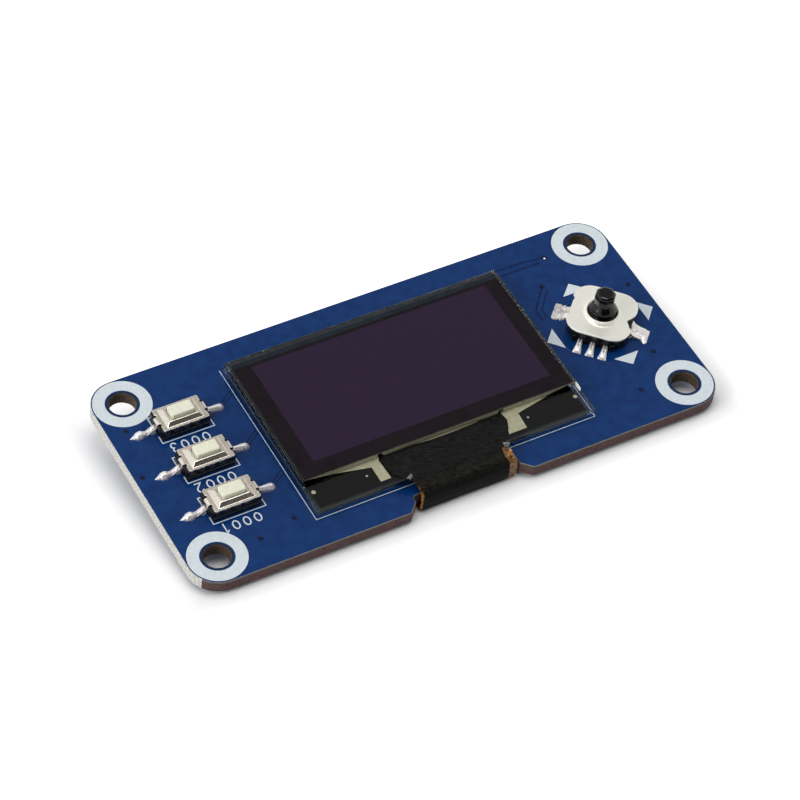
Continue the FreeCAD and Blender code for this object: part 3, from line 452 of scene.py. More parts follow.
RESISTOR = surface("resistor_black", (14, 14, 16), (24, 24, 26), 0.3, (0.25, 0.4))

NODE_PAINT = {
    "display_foam_pad": FOAM_WITH_REFLECTION,
    "display_pixel_layer": PIXELS,
    "display_driver_chip": SILICON,
    "joystick_contact_plate": SPRING,
    "joystick_drive_ring": BLACK_PLASTIC,
    "header_housing": BLACK_PLASTIC,
    "header_contacts": GOLD,
    "board_capacitors": CERAMIC,
    "board_resistors": RESISTOR,
}
for key in (1, 2, 3):
    NODE_PAINT[f"key{key}_dome"] = SPRING
for node, paint in NODE_PAINT.items():
    for place in nodes[node].material_slots:
        place.material = paint


# Circuit board

board_high = box_mm("circuit_board")[1]
BOARD_TOP = board_high.z
HALF_X, HALF_Y = board_high.x, board_high.y
CORNER = 3.5
HOLE_X, HOLE_Y, HOLE_RADIUS = HALF_X - 3.5, HALF_Y - 3.5, 1.5
NOTCH_HALF, NOTCH_DEPTH, NOTCH_CHAMFER = 6.4, 2.0, 1.2
MASK_THICK = 0.035
EDGE_BREAK = 0.1
SAWN_LIT_REACH = 0.8
PRINT_TOP = BOARD_TOP + 0.02
HOLE_SPOTS = [(sx * HOLE_X, sy * HOLE_Y) for sx in (-1, 1) for sy in (-1, 1)]
KEY_SPOTS = {key: middle_mm(f"key{key}_housing") for key in (1, 2, 3)}


def at_holes(radius):
    return [round_outline(radius, x, y, 64) for x, y in HOLE_SPOTS]


def board_outline():
    front = -HALF_Y
    left = [(-HALF_X, front, CORNER), (-NOTCH_HALF - NOTCH_CHAMFER, front, 0.3),
            (-NOTCH_HALF, front + NOTCH_CHAMFER, 0.3), (-NOTCH_HALF, front + NOTCH_DEPTH, 0.4)]
    back = [(HALF_X, HALF_Y, CORNER), (-HALF_X, HALF_Y, CORNER)]
    return rounded(left + mirrored(left) + back, steps=10)


def board_core():
    """Laminate: routed brown sides, a pale broken rim partly painted highlight, a sawn left end painted
    lit.
    """
    form = Form()
    slab(form, board_outline(), MASK_THICK, BOARD_TOP - MASK_THICK, EDGE_BREAK, edge_paint=3,
         holes=at_holes(HOLE_RADIUS))
    for i, face in enumerate(form.faces):
        centre = sum((form.points[k] for k in face), Vector()) / len(face)
        near_hole = min((centre.xy - Vector(spot)).length for spot in HOLE_SPOTS)
        if centre.x < -HALF_X + SAWN_LIT_REACH:
            form.paint[i] = 1
        elif near_hole < HOLE_RADIUS + 0.2:
            form.paint[i] = 2
    piece("board_laminate", form, "solder_mask", (EDGE_BROWN, EDGE_SAWN_LIT, HOLE_WALL, EDGE_PALE_HIGHLIGHT),
          "circuit_board")


def board_mask():
    """A mask film on each side, with a dark ring of painted shade round each hole."""
    outer, inner = HOLE_RADIUS + 0.24, HOLE_RADIUS + 0.06
    for name, low in (("board_mask_top", BOARD_TOP - MASK_THICK), ("board_mask_under", 0.0)):
        form = Form()
        slab(form, grown(board_outline(), -EDGE_BREAK), low, low + MASK_THICK, 0.015, 0.0,
             holes=at_holes(outer))
        for ring, hole in zip(at_holes(outer), at_holes(inner)):
            slab(form, ring, low, low + 0.8 * MASK_THICK, paint=1, holes=[hole])
        piece(name, form, "solder_mask", (MASK, HOLE_SHADE_RING))


def board_traces():
    """Copper lines and small plated holes that stand out a little through the mask, with painted shade on
    both.
    """
    form = Form()
    low, high = BOARD_TOP - 0.01, BOARD_TOP + 0.012
    for centre in KEY_SPOTS.values():
        for shift in (0.0, 0.5):
            x, y = centre.x + 5.1, centre.y - shift
            line = [(x - 0.1, y + 0.35), (x + 0.6, y + 0.9), (x + 1.85, y + 1.75)]
            line_strip(form, line, 0.16, low, high)
    for width, line in ((0.24, [(24.0, 11.45), (21.6, 11.75), (18.9, 11.75), (17.9, 11.9)]),
                        (0.24, [(23.2, 10.9), (20.4, 10.9), (18.3, 10.9)]),
                        (0.24, [(21.6, 7.5), (19.2, 4.7), (19.2, 3.2)]),
                        (0.2, [(22.0, 6.9), (19.9, 4.5), (19.9, 3.4)])):
        line_strip(form, line, width, low, high)
    vias = ((24.2, 11.3), (21.7, 7.6), (30.9, 3.8), (28.2, -6.1), (24.0, -10.4),
            (-30.3, 7.8), (-31.5, 1.3), (-23.8, -11.3), (-19.3, -10.3))
    for x, y in vias:
        lathe(form, [(0.36, low), (0.34, high), (0.2, high), (0.18, high - 0.006)], 0, 24, x, y)
        lathe(form, [(0.2, high - 0.004), (0.14, high + 0.002), (0, high + 0.002)], 1, 16, x, y)
    # A bright solder dot on the first via paints the highlight seen on it.
    x, y = vias[0]
    lathe(form, [(0.13, high + 0.002), (0.1, high + 0.02), (0, high + 0.03)], 2, 12, x - 0.03, y - 0.04)
    piece("board_traces", form, "solder_mask", (MASK_RAISED_SHADED, VIA_SHADE, SOLDER))


# White print

def printed_line(form, points, width):
    line_strip(form, points, width, BOARD_TOP, PRINT_TOP)


def hole_rings():
    form = Form()
    for x, y in HOLE_SPOTS:
        slab(form, round_outline(3.28, x, y, 96), BOARD_TOP, PRINT_TOP, 0.006, 0.0,
             holes=[round_outline(1.92, x, y, 96)])
    piece("print_hole_rings", form, "solder_mask", (PRINT,))


def display_print():
    form = Form()
    half, front, back, width = 17.3, -11.55, 11.4, 0.08
    printed_line(form, [(-half, back), (-half, front), (-5.4, front)], width)
    printed_line(form, [(6.2, front), (half, front), (half, back)], width)
    piece("print_display_frame", form, "solder_mask", (PRINT,))


def joystick_print():
    """Four arrowheads that point away from the joystick."""
    form = Form()
    centre = middle_mm("joystick_collar")
    base, apex, half_base = 5.27, 6.78, 1.57
    shifts = ((0.03, -0.3), (-0.2, -0.05), (-0.15, 0.0), (0.26, 0.01))
    for quarter, shift in enumerate(shifts):
        turn = Matrix.Rotation(quarter * math.pi / 2, 2)
        corners = [Vector((base, -half_base)), Vector((apex, 0)), Vector((base, half_base))]
        outline = [centre.xy + Vector(shift) + turn @ corner for corner in corners]
        slab(form, outline, BOARD_TOP, PRINT_TOP)
    piece("print_joystick_arrows", form, "solder_mask", (PRINT,))


def arc(x, y, reach_x, reach_y, start, end, steps=10):
    angles = [math.radians(start + (end - start) * k / steps) for k in range(steps + 1)]
    return [(x + reach_x * math.cos(a), y + reach_y * math.sin(a)) for a in angles]


DIGITS = {
    1: [(0.2, 0.78), (0.52, 1), (0.52, 0)],
    2: arc(0.5, 0.7, 0.36, 0.3, 165, -40) + [(0.12, 0), (0.9, 0)],
    3: arc(0.46, 0.76, 0.3, 0.24, 155, -70, 8) + arc(0.46, 0.27, 0.37, 0.27, 70, -155, 10),
}


def key_print():
    """The frame in front of each key and its number, which reads from the back of the board."""
    form = Form()
    height, width, pitch, stroke = 1.25, 0.86, 1.28, 0.16
    for key, centre in KEY_SPOTS.items():
        left, right, front, back = centre.x - 3.0, centre.x + 3.2, centre.y - 1.95, centre.y + 1.9
        printed_line(form, [(left, front + 1.0), (left, front), (right, front), (right, front + 1.0)], 0.12)
        printed_line(form, [(left, centre.y + 0.9), (left, back), (left + 0.6, back)], 0.12)
        text_right, text_top = centre.x + 2.15, front - 0.4
        for place in (0, 1, 2):
            x, y = text_right - place * pitch - width / 2, text_top - height / 2
            outer = [Vector((x + px, y + py)) for px, py in arc(0, 0, width / 2, height / 2, 0, 345, 23)]
            slab(form, outer, BOARD_TOP, PRINT_TOP, holes=[grown(outer, -stroke)])
        start = text_right - 3 * pitch
        digit = [(start - x * width, text_top - y * height) for x, y in DIGITS[key]]
        printed_line(form, digit, stroke)
    piece("print_keys", form, "solder_mask", (PRINT,))


# Display panel

rear_low, rear_high = box_mm("display_rear_glass")
front_low, front_high = box_mm("display_front_glass")
film_low, film_high = box_mm("display_polarizer")
pixel_low, pixel_high = box_mm("display_pixel_layer")
LEDGE_Z = rear_high.z
FRONT_EDGE = front_low.y
GLASS_RIM = 0.035
SEAL_INSET = 1.6


def flat_box(low, high, radius=0.0):
    middle_x, middle_y = (low.x + high.x) / 2, (low.y + high.y) / 2
    return box_outline(high.x - low.x, high.y - low.y, radius, middle_x, middle_y)


def display_glass():
    for name, low, high, slot in (("rear_glass", rear_low, rear_high, "ledge_glass"),
                                  ("front_glass", front_low, front_high, "cover_glass")):
        form = Form()
        slab(form, flat_box(low, high, 0.1), low.z, high.z, GLASS_RIM, edge_paint=1)
        piece(f"display_{name}_body", form, slot, (CLEAR, ARRIS_HIGHLIGHT), f"display_{name}")


def display_seal():
    form = Form()
    outer = grown(flat_box(front_low, front_high), -SEAL_INSET)
    slab(form, outer, LEDGE_Z + 0.002, front_low.z - 0.002, holes=[grown(outer, -0.8)])
    piece("display_seal_frame", form, "black_seal", (SEAL,), "display_seal")


def display_film():
    """The polariser with the pixel field in it, and two paler bands of painted reflection at the back."""
    form = Form()
    left, right = front_low.x + 0.2, front_high.x - 0.46
    front, back = FRONT_EDGE + 0.04, film_high.y
    low, high = film_low.z, film_high.z
    window = flat_box(pixel_low, pixel_high)
    bands = ((front, back - 1.0, [window]), (back - 1.0, back - 0.4, []), (back - 0.4, back, []))
    for paint, (near, far, holes) in enumerate(bands):
        outline = box_outline(right - left, far - near, 0, (left + right) / 2, (near + far) / 2)
        slab(form, outline, low, high, holes=holes, paint=paint, side_paint=4)
    slab(form, window, low, high, paint=3)
    piece("display_polarizer_film", form, "polarizer", (BORDER, INNER_BAND_REFLECTION, BACK_BAND_REFLECTION, PIXELS, ARRIS_HIGHLIGHT),
          "display_polarizer")


def display_glue():
    """Glue lines between the two glasses, and a bead at the front right corner painted white as a glint."""
    form = Form()
    middle = (FRONT_EDGE + front_high.y) / 2
    for width, depth, x, y in ((0.2, 18.0, -16.85, middle), (0.46, 18.0, 16.72, middle),
                               (33.6, 0.25, 0, front_high.y - 0.22)):
        slab(form, box_outline(width, depth, 0, x, y), LEDGE_Z + 0.003, front_low.z - 0.003)
    piece("display_glue_line", form, "black_seal", (GLUE_LINE,))

    form = Form()
    bead = [(0.0, 0.09, 0.3), (0.12, 0.13, 0.44), (0.5, 0.14, 0.42), (1.0, 0.13, 0.38), (1.2, 0.1, 0.3),
            (1.3, 0.02, 0.02)]
    mound(form, bead, rows=10, count=24)
    for point in form.points:
        point.xyz = (front_high.x + 0.06 + point.y, FRONT_EDGE + 0.35 - point.x, LEDGE_Z + point.z)
    piece("display_corner_glue_painted_glint", form, "cover_glass", (GLUE_GLINT,))


def ledge_conductors():
    """The pale conductor shapes on the ledge, which run on under the edge of the front glass."""
    form = Form()
    low, high = LEDGE_Z, LEDGE_Z + 0.008
    edge, under, foot = FRONT_EDGE, FRONT_EDGE + SEAL_INSET - 0.04, FRONT_EDGE - 3.05
    left = [(-16.4, under), (-16.2, edge + 0.9), (-13.3, edge + 0.02), (-9.1, edge - 0.9), (-9.1, foot),
            (-7.85, foot), (-7.95, edge - 0.4), (-7.75, edge), (-7.85, under)]
    right = [(12.8, edge - 0.15), (9.15, edge - 0.85), (9.0, foot), (6.6, foot), (7.3, edge - 1.8),
             (7.4, edge - 0.1), (7.8, under), (16.3, under), (16.2, edge + 0.9)]
    middle = [(-7.3, under), (-6.6, edge + 0.6), (-4.0, edge + 0.05), (0.0, edge - 0.3), (3.0, edge - 0.27),
              (5.4, edge + 0.1), (7.0, under - 0.5), (7.1, under)]
    for corners in (left, right, middle):
        slab(form, [Vector(corner) for corner in corners], low, high)
    for x, y, radius in ((-16.35, -8.93, 0.25), (-10.13, -9.33, 0.13), (-17.0, -7.95, 0.08),
                         (16.1, -9.0, 0.23), (9.83, -9.43, 0.13)):
        slab(form, round_outline(radius, x, y, 20), low, high)
    # Strips on the front face of the front glass paint the conductors seen through its edge, lit.
    top, sole = front_high.z - 0.02, front_low.z + 0.01
    for outline in ([(-16.3, top), (-13.3, sole), (-7.9, sole), (-7.9, top)],
                    [(-7.5, top), (-7.1, sole), (7.0, sole), (7.2, top)],
                    [(7.7, top), (7.7, sole), (12.8, sole), (16.2, top)]):
        form.solid([[(x, edge - gap, z) for x, z in outline] for gap in (0.002, 0.012)], 1)
    piece("display_conductors", form, "pixel_layer", (CONDUCTOR, CONDUCTOR_EDGE_LIT))


# Flex and tape

RIBBON_TOP = LEDGE_Z + 0.12
RIBBON_FACE = -13.95
RIBBON_BOTTOM = -0.42


def blend(value, low, high):
    share = min(1.0, max(0.0, (value - low) / (high - low)))
    return share * share * (3 - 2 * share)


def wobble(x, y, seed, size=1.0):
    return noise.noise(Vector((x / size, y / size, seed)))


def along(stops, distance):
    """A value between given stops of (distance, value)."""
    for (start, low), (end, high) in zip(stops, stops[1:]):
        if distance <= end:
            return low + (high - low) * blend(distance, start, end)
    return stops[-1][1]


def smooth_path(corners, step):
    """(y, z, radius) corners as evenly spaced points with rounded turns."""
    raw = []
    spots = [Vector(corner[:2]) for corner in corners]
    for i, corner in enumerate(corners):
        if i in (0, len(corners) - 1) or corner[2] == 0:
            raw.append(spots[i])
        else:
            raw += turned_corner(spots[i - 1], spots[i], spots[i + 1], corner[2], 12)
    points, gap = [raw[0]], 0.0
    for a, b in zip(raw, raw[1:]):
        length = (b - a).length
        while gap + length >= step:
            a = a.lerp(b, (step - gap) / length)
            points.append(a.copy())
            length = (b - a).length
            gap = 0.0
        gap += length
    return points + [raw[-1]]


def ribbon(form, path, step, left_edge, right_edge, thickness, columns, relief, start_bow=0.0):
    """A sheet along a path; edges and relief are functions of the distance, and the start can bow."""
    rings = []
    for i, spot in enumerate(path):
        way = (path[min(i + 1, len(path) - 1)] - path[max(i - 1, 0)]).normalized()
        normal = Vector((way.y, -way.x))
        distance = i * step
        left, right = left_edge(distance), right_edge(distance)
        top, low = [], []
        for k in range(columns + 1):
            share = k / columns
            x = left + (right - left) * share
            slide = way * (start_bow * math.sin(math.pi * share) ** 1.5 * max(0.0, 1 - distance / 1.2))
            rise = relief(x, distance)
            up = spot + slide + normal * rise
            down = spot + slide + normal * (rise - thickness)
            top.append((x, up.x, up.y))
            low.append((x, down.x, down.y))
        rings.append(low + top[::-1])
    form.solid(rings)


def flex_path(start, step):
    """The middle line of the flex from a start on the ledge to its tail under the board."""
    loop_y = RIBBON_FACE + 1.7
    return smooth_path([
        (start, RIBBON_TOP, 0), (-11.9, RIBBON_TOP, 2.0), (RIBBON_FACE, RIBBON_TOP - 0.55, 1.0),
        (RIBBON_FACE, RIBBON_BOTTOM, 0.5), (loop_y, RIBBON_BOTTOM, 0.3),
        (loop_y + 1.3, -0.12, 0.3), (loop_y + 4.2, -0.12, 0)], step)


def flex_ribbon():
    """The amber flex: flat on the ledge, crinkled where it falls, and looped under the board."""
    left_stops = [(0, -5.95), (2.2, -5.9), (3.0, -5.72), (4.2, -5.8), (8.0, -5.85), (9.5, -6.1),
                  (16, -6.1)]
    right_stops = [(0, 6.1), (1.6, 6.05), (2.2, 5.85), (3.2, 5.95), (4.2, 6.1), (16, 6.1)]

    def relief(x, distance):
        side = blend(abs(x), 4.9, 5.6)
        fall = blend(distance, 1.9, 2.4) * (1 - blend(distance, 4.2, 5.0))
        crinkle = wobble(x * 1.4, distance * 2.6, 3.0) + 0.5 * wobble(x * 3.0, distance * 6.0, 9.0)
        return 0.13 * side * fall * crinkle - 0.03 * side - 0.02

    def left_edge(distance):
        return along(left_stops, distance) + 0.05 * wobble(distance * 2.0, 1.0, 1.0)

    def right_edge(distance):
        wave = 0.07 * wobble(distance * 2.4, 5.0, 1.0) * (1 - blend(distance, 4, 5))
        return along(right_stops, distance) + wave

    step = 0.1
    form = Form()
    ribbon(form, flex_path(-9.9, step), step, left_edge, right_edge, 0.1, 110, relief)
    piece("display_flex_ribbon", form, "polyimide", (AMBER,), "display_flex", crease=50)


def tape_lift(x, distance):
    """The tape's height over the flex's line: low on the ledge, high over the chip, then on the flex."""
    over_chip = blend(distance, 0.1, 0.6) * (1 - blend(distance, 1.5, 3.2))
    chip = (1 - blend(abs(x), 4.6, 6.4)) * over_chip
    on_flex = (1 - blend(abs(x), 6.0, 6.4)) * blend(distance, 2.0, 2.5)
    return max(-0.03 + 0.12 * on_flex, -0.03 + 0.33 * chip)


def turned_up_corner(form, x, y, turn, size):
    """A small flap of the tape that shows its pale back."""
    rings = []
    for i in range(6):
        t = i / 5
        row = []
        for k in range(6):
            s = k / 5 - 0.5
            spot = Matrix.Rotation(turn, 2) @ Vector((s * size * (1 - 0.45 * t), -t * 0.5 * size))
            bend = 0.16 + 0.1 * math.sin(math.pi * t) - 0.22 * t * t + 0.04 * wobble(s * 3, t * 3, x)
            row.append((x + spot.x, y + spot.y, RIBBON_TOP + 0.09 + bend))
        rings.append(row + [(px, py, pz - 0.05) for px, py, pz in row[::-1]])
    form.solid(rings, 1)


def flex_tape():
    """Black cloth tape over the chip and the flex, with torn side edges and two turned-up corners."""
    left_stops = [(0, -7.5), (0.6, -7.75), (2.6, -7.7), (3.3, -7.1), (4.0, -6.5), (4.4, -5.95),
                  (5.2, -5.62), (6.2, -5.5), (12, -5.4)]
    right_stops = [(0, 7.35), (1.3, 7.5), (2.1, 7.15), (2.9, 6.75), (3.5, 6.25), (4.1, 5.7), (4.5, 4.95),
                   (5.4, 4.85), (6.2, 5.05), (12, 5.05)]

    def torn(distance, seed):
        teeth = 0.1 * wobble(distance * 3.0, seed, 0.0) + 0.06 * wobble(distance * 8.0, seed, 4.0)
        return teeth * (1 - 0.7 * blend(distance, 5.5, 6.5))

    def left_edge(distance):
        return along(left_stops, distance) + torn(distance, 2.0)

    def right_edge(distance):
        return along(right_stops, distance) + torn(distance, 31.0)

    def relief(x, distance):
        crease = 0.045 * wobble(x * 0.4 + distance * 0.5, distance * 0.9, 1.0)
        fibres = 0.012 * wobble(x * 1.2 + distance * 2.2, distance * 5.0 - x * 1.6, 6.0)
        ridge = 0.07 * math.exp(-((distance - 4.3) / 0.22) ** 2) * (0.7 + 0.6 * wobble(x * 0.9, 0.0, 8.0))
        loose = max(-0.01, (crease + fibres) * (1 - 0.6 * blend(distance, 5.0, 6.0)) + ridge)
        return tape_lift(x, distance) + loose

    step = 0.08
    path = flex_path(FRONT_EDGE - 0.03, step)
    end = next(i for i, spot in enumerate(path) if spot.x < RIBBON_FACE + 0.5 and spot.y < 0) + 18
    form = Form()
    ribbon(form, path[:end], step, left_edge, right_edge, 0.07, 150, relief, start_bow=0.22)
    turned_up_corner(form, -6.2, -11.45, 0.5, 0.85)
    turned_up_corner(form, 5.7, -11.75, -0.35, 0.9)
    piece("display_flex_cover_tape", form, "cloth_tape", (TAPE, TAPE_BACK),
          "display_flex_tape", crease=60)


# Push keys

KEY_HOUSING_TOP, KEY_COVER_TOP, KEY_CROWN_TOP, KEY_CAP_TOP = 1.37, 1.55, 1.95, 2.5


def bent_pair(form, strip, half):
    """Two bent strips, one at each end of a key, with this (x, z) side view and half width."""
    across = (-half, -half + 0.02, half - 0.02, half)
    for side in (-1, 1):
        form.solid([[(side * x, side * y, z) for x, z in strip] for y in across])


def key_cover(form):
    """The pressed cover: a flat with notched ends and bent ears, and a sloped crown with a window."""
    top, end, side, notch = KEY_COVER_TOP, 2.725, 1.625, 2.58
    right = [(end, -0.86, 0.06), (notch, -0.8, 0.03), (notch, -0.52, 0.03), (end, -0.5, 0.02)]
    right += [(x, -y, radius) for x, y, radius in right[::-1]]
    near, far = [(-end, -side, 0.16), (end, -side, 0.16)], [(end, side, 0.16), (-end, side, 0.16)]
    flat = rounded(near + right + far + mirrored(right))
    slab(form, flat, KEY_HOUSING_TOP - 0.06, top, 0.05, 0.0, holes=[box_outline(4.3, 2.68, 0.1)])
    crown = [
        (4.5, 2.88, 0.1, top + 0.004), (4.36, 2.74, 0.1, top + 0.004), (4.3, 2.68, 0.1, top + 0.02),
        (4.24, 2.62, 0.1, top + 0.07), (3.62, 2.02, 0.08, KEY_CROWN_TOP - 0.05),
        (3.56, 1.96, 0.07, KEY_CROWN_TOP - 0.01), (3.48, 1.88, 0.06, KEY_CROWN_TOP),
        (2.97, 1.7, 0.26, KEY_CROWN_TOP), (2.92, 1.66, 0.24, KEY_CROWN_TOP - 0.02),
        (2.91, 1.65, 0.24, KEY_CROWN_TOP - 0.18),
    ]
    form.skin([level(box_outline(width, depth, radius), z) for width, depth, radius, z in crown])
    ear = [(2.4, top - 0.006), (2.78, top - 0.006), (2.94, top - 0.05), (3.04, top - 0.16),
           (3.08, top - 0.5), (2.96, top - 0.5), (2.93, top - 0.2), (2.7, top - 0.14), (2.4, top - 0.14)]
    bent_pair(form, ear, 0.5)


def key_base(form):
    cut, half_x, half_y = 0.22, 2.95, 1.65
    right = [(half_x - cut, -half_y, 0.05), (half_x, -half_y + cut, 0.05),
             (half_x, half_y - cut, 0.05), (half_x - cut, half_y, 0.05)]
    left = mirrored(right)
    slab(form, rounded(left[2:] + right + left[:2], 2), 0.0, KEY_HOUSING_TOP, 0.05, 0.03)


def key_cap(form):
    slab(form, box_outline(2.75, 1.5, 0.24, steps=6), 1.4, KEY_CAP_TOP, 0.13, 0.0, steps=4)
    slab(form, box_outline(3.7, 2.0, 0.1), 1.28, 1.45, 0.03)


def key_leads(form):
    strip = [(2.6, 0.55), (3.1, 0.55), (3.2, 0.52), (3.9, 0.03), (4.0, 0.0), (4.9, 0.0), (4.9, 0.12),
             (4.05, 0.15), (3.98, 0.17), (3.28, 0.67), (3.17, 0.7), (2.6, 0.7)]
    bent_pair(form, strip, 0.34)


def key_parts(key):
    at = Matrix.Translation((KEY_SPOTS[key].x, KEY_SPOTS[key].y, BOARD_TOP))
    for name, draw, node, body, slot, paint in (
            ("base", key_base, "housing", "board", "black_moulding", BLACK_PLASTIC),
            ("press_cover", key_cover, "cover", "board", "key_metal", KEY_METAL),
            ("cap", key_cap, "plunger", f"key{key}_button", "ivory_plastic", IVORY),
            ("leads", key_leads, "terminals", "board", "tinned_lead", TIN)):
        form = Form()
        draw(form)
        piece(f"key{key}_{name}", form, slot, (paint,), f"key{key}_{node}", body, at)


def mound(form, stops, rows=14, count=60, slot=0.0, ragged=0.0, seed=0.0):
    """A smooth solder mound along X through (x, half width, height) stops, with round sections."""
    first, last = stops[0][0], stops[-1][0]
    halves = [(x, half) for x, half, high in stops]
    highs = [(x, high) for x, half, high in stops]
    rings = []
    for i in range(count + 1):
        x = first + (last - first) * i / count
        half, high = along(halves, x), along(highs, x)
        cut = slot * (1 - blend(x, first + 0.4, last - 0.4))
        ring = []
        for m in range(rows + 1):
            angle = math.pi * m / rows
            y = half * math.cos(angle)
            z = high * math.sin(angle) * (1 - cut * math.exp(-(y / 0.09) ** 2))
            jag = 1 + ragged * wobble(x * 4, math.copysign(3.0, y), seed)
            ring.append((x + ragged * 0.3 * wobble(y * 5, x, seed + 7), y * jag, z))
        rings.append(ring)
    form.skin(rings, closed=False)


def place_on(form, part, turn, x=0.0, y=0.0, z=0.0, paint=0):
    """Add a part's points to a form after a turn (in quarter turns) and a shift."""
    spin = Matrix.Rotation(turn * math.pi / 2, 2)
    points = []
    for point in part.points:
        flat = spin @ point.xy
        points.append((x + flat.x, y + flat.y, z + point.z))
    form.add(points, part.faces, paint)


def key_solder():
    long_side = [
        (3.02, 0.36, 0.7), (3.12, 0.4, 0.8), (3.4, 0.4, 0.74), (3.75, 0.3, 0.46), (4.0, 0.26, 0.32),
        (4.3, 0.38, 0.44), (4.75, 0.54, 0.62), (5.15, 0.5, 0.52), (5.5, 0.3, 0.28), (5.75, 0.16, 0.14),
        (6.0, 0.01, 0.01)]
    short_side = [
        (3.02, 0.34, 0.7), (3.2, 0.36, 0.76), (3.7, 0.38, 0.72), (4.1, 0.42, 0.68), (4.5, 0.46, 0.64),
        (4.85, 0.46, 0.58), (5.1, 0.38, 0.4), (5.24, 0.22, 0.16), (5.28, 0.01, 0.01)]
    form = Form()
    for key, centre in KEY_SPOTS.items():
        for turn, stops in ((2, long_side), (0, short_side)):
            part = Form()
            mound(part, stops, ragged=0.1, seed=key * 5.0 + turn)
            place_on(form, part, turn, centre.x, centre.y, BOARD_TOP)
    piece("key_solder_joints", form, "solder", (SOLDER,), "key_solder", crease=80)


# Five-way joystick, in its own turned frame

STICK_SPOT = middle_mm("joystick_collar")
STICK_TURN = Matrix.Rotation(-math.pi / 4, 4, "Z")
STICK_AT = Matrix.Translation((STICK_SPOT.x, STICK_SPOT.y, BOARD_TOP)) @ STICK_TURN
COVER_LOW, COVER_TOP, BOSS_TOP = 1.6, 1.8, 2.25
BOSS_FOOT, BOSS_HOLE = 2.16, 1.7
LEAD_PITCH = 1.45
PITCHES = [(LEAD_PITCH * step, way) for step in (-1, 0, 1) for way in (-1, 1)]


def joystick_base(form):
    slab(form, box_outline(7.1, 7.1, 2.0, steps=8), 0.3, COVER_LOW, 0.05, 0.05)
    slab(form, box_outline(6.9, 6.9, 1.9, steps=8), 0.0, 0.35, 0.02)
    for step in (-1.5, -0.5, 0.5, 1.5):
        for way in (-1, 1):
            slab(form, box_outline(0.55, 0.5, 0.08, LEAD_PITCH * step, way * 3.4, 2), 0.0, 0.9, 0.06)


def joystick_cover(form):
    """The pressed cover: a lobed flat, a flared boss around the hole and two bent tabs."""
    half, corner, tab, dip = 3.725, 2.1, 1.5, 0.22
    outline = rounded([
        (-half, -half, corner), (half, -half, corner), (half, -1.5, 0.12), (half - 0.32, -1.06, 0.1),
        (2.94, -0.2, 0.08), (half - 0.1, 0.8, 0.08), (half, 1.3, 0.15), (half, half, corner),
        (-half, half, corner), (-half, tab, 0.15), (-half + dip, tab - 0.2, 0.15),
        (-half + dip, -tab + 0.2, 0.15), (-half, -tab, 0.15),
    ], 8)
    slab(form, outline, COVER_LOW, COVER_TOP, 0.05, 0.03, steps=3,
         holes=[round_outline(BOSS_FOOT, count=96)])
    foot = COVER_TOP + 0.001
    flare = [(BOSS_FOOT - 0.24 * t, foot + 0.38 * t ** 2.2) for t in (k / 16 for k in range(17))]
    lip = [(1.9, BOSS_TOP - 0.02), (BOSS_HOLE + 0.15, BOSS_TOP), (BOSS_HOLE + 0.08, BOSS_TOP - 0.02),
           (BOSS_HOLE + 0.03, BOSS_TOP - 0.08), (BOSS_HOLE, BOSS_TOP - 0.2), (BOSS_HOLE, BOSS_TOP - 0.45)]
    lathe(form, [(BOSS_FOOT + 0.06, foot)] + flare + lip, 0, 128)
    top = COVER_TOP - 0.008
    cover_tab(form, -1, [
        (3.1, top), (3.4, top), (3.54, top - 0.05), (3.6, top - 0.3), (3.62, top - 0.8), (3.7, 0.6),
        (3.85, 0.36), (4.15, 0.24), (4.7, 0.18)], (-0.85, 0.85), (-0.1, 0.1))
    cover_tab(form, 1, [
        (3.2, 1.0), (3.5, 0.96), (3.62, 0.86), (3.72, 0.7), (3.9, 0.5), (4.2, 0.36), (4.6, 0.28),
        (5.2, 0.2)], (-0.9, 0.9), (0.0, -0.1))


def cover_tab(form, side, bend, edges, flares):
    """A tab on one side of X along a bent line, with edges that flare near its end."""
    strip = bend + [(x - 0.12, z - 0.12) for x, z in bend[::-1]]
    rings = []
    for k in range(9):
        ring = []
        for x, z in strip:
            low, high = (edge + flare * blend(x, 3.9, 5.1) for edge, flare in zip(edges, flares))
            ring.append((side * x, low + (high - low) * k / 8, z))
        rings.append(ring)
    form.solid(rings)


def joystick_leads(form):
    strip = [(3.0, 0.3), (3.55, 0.3), (4.15, 0.0), (5.2, 0.0), (5.2, 0.15), (4.2, 0.15), (3.6, 0.45),
             (3.0, 0.45)]
    for x, way in PITCHES:
        form.solid([[(x + shift * way, way * y, z) for y, z in strip] for shift in (0.28, -0.28)])


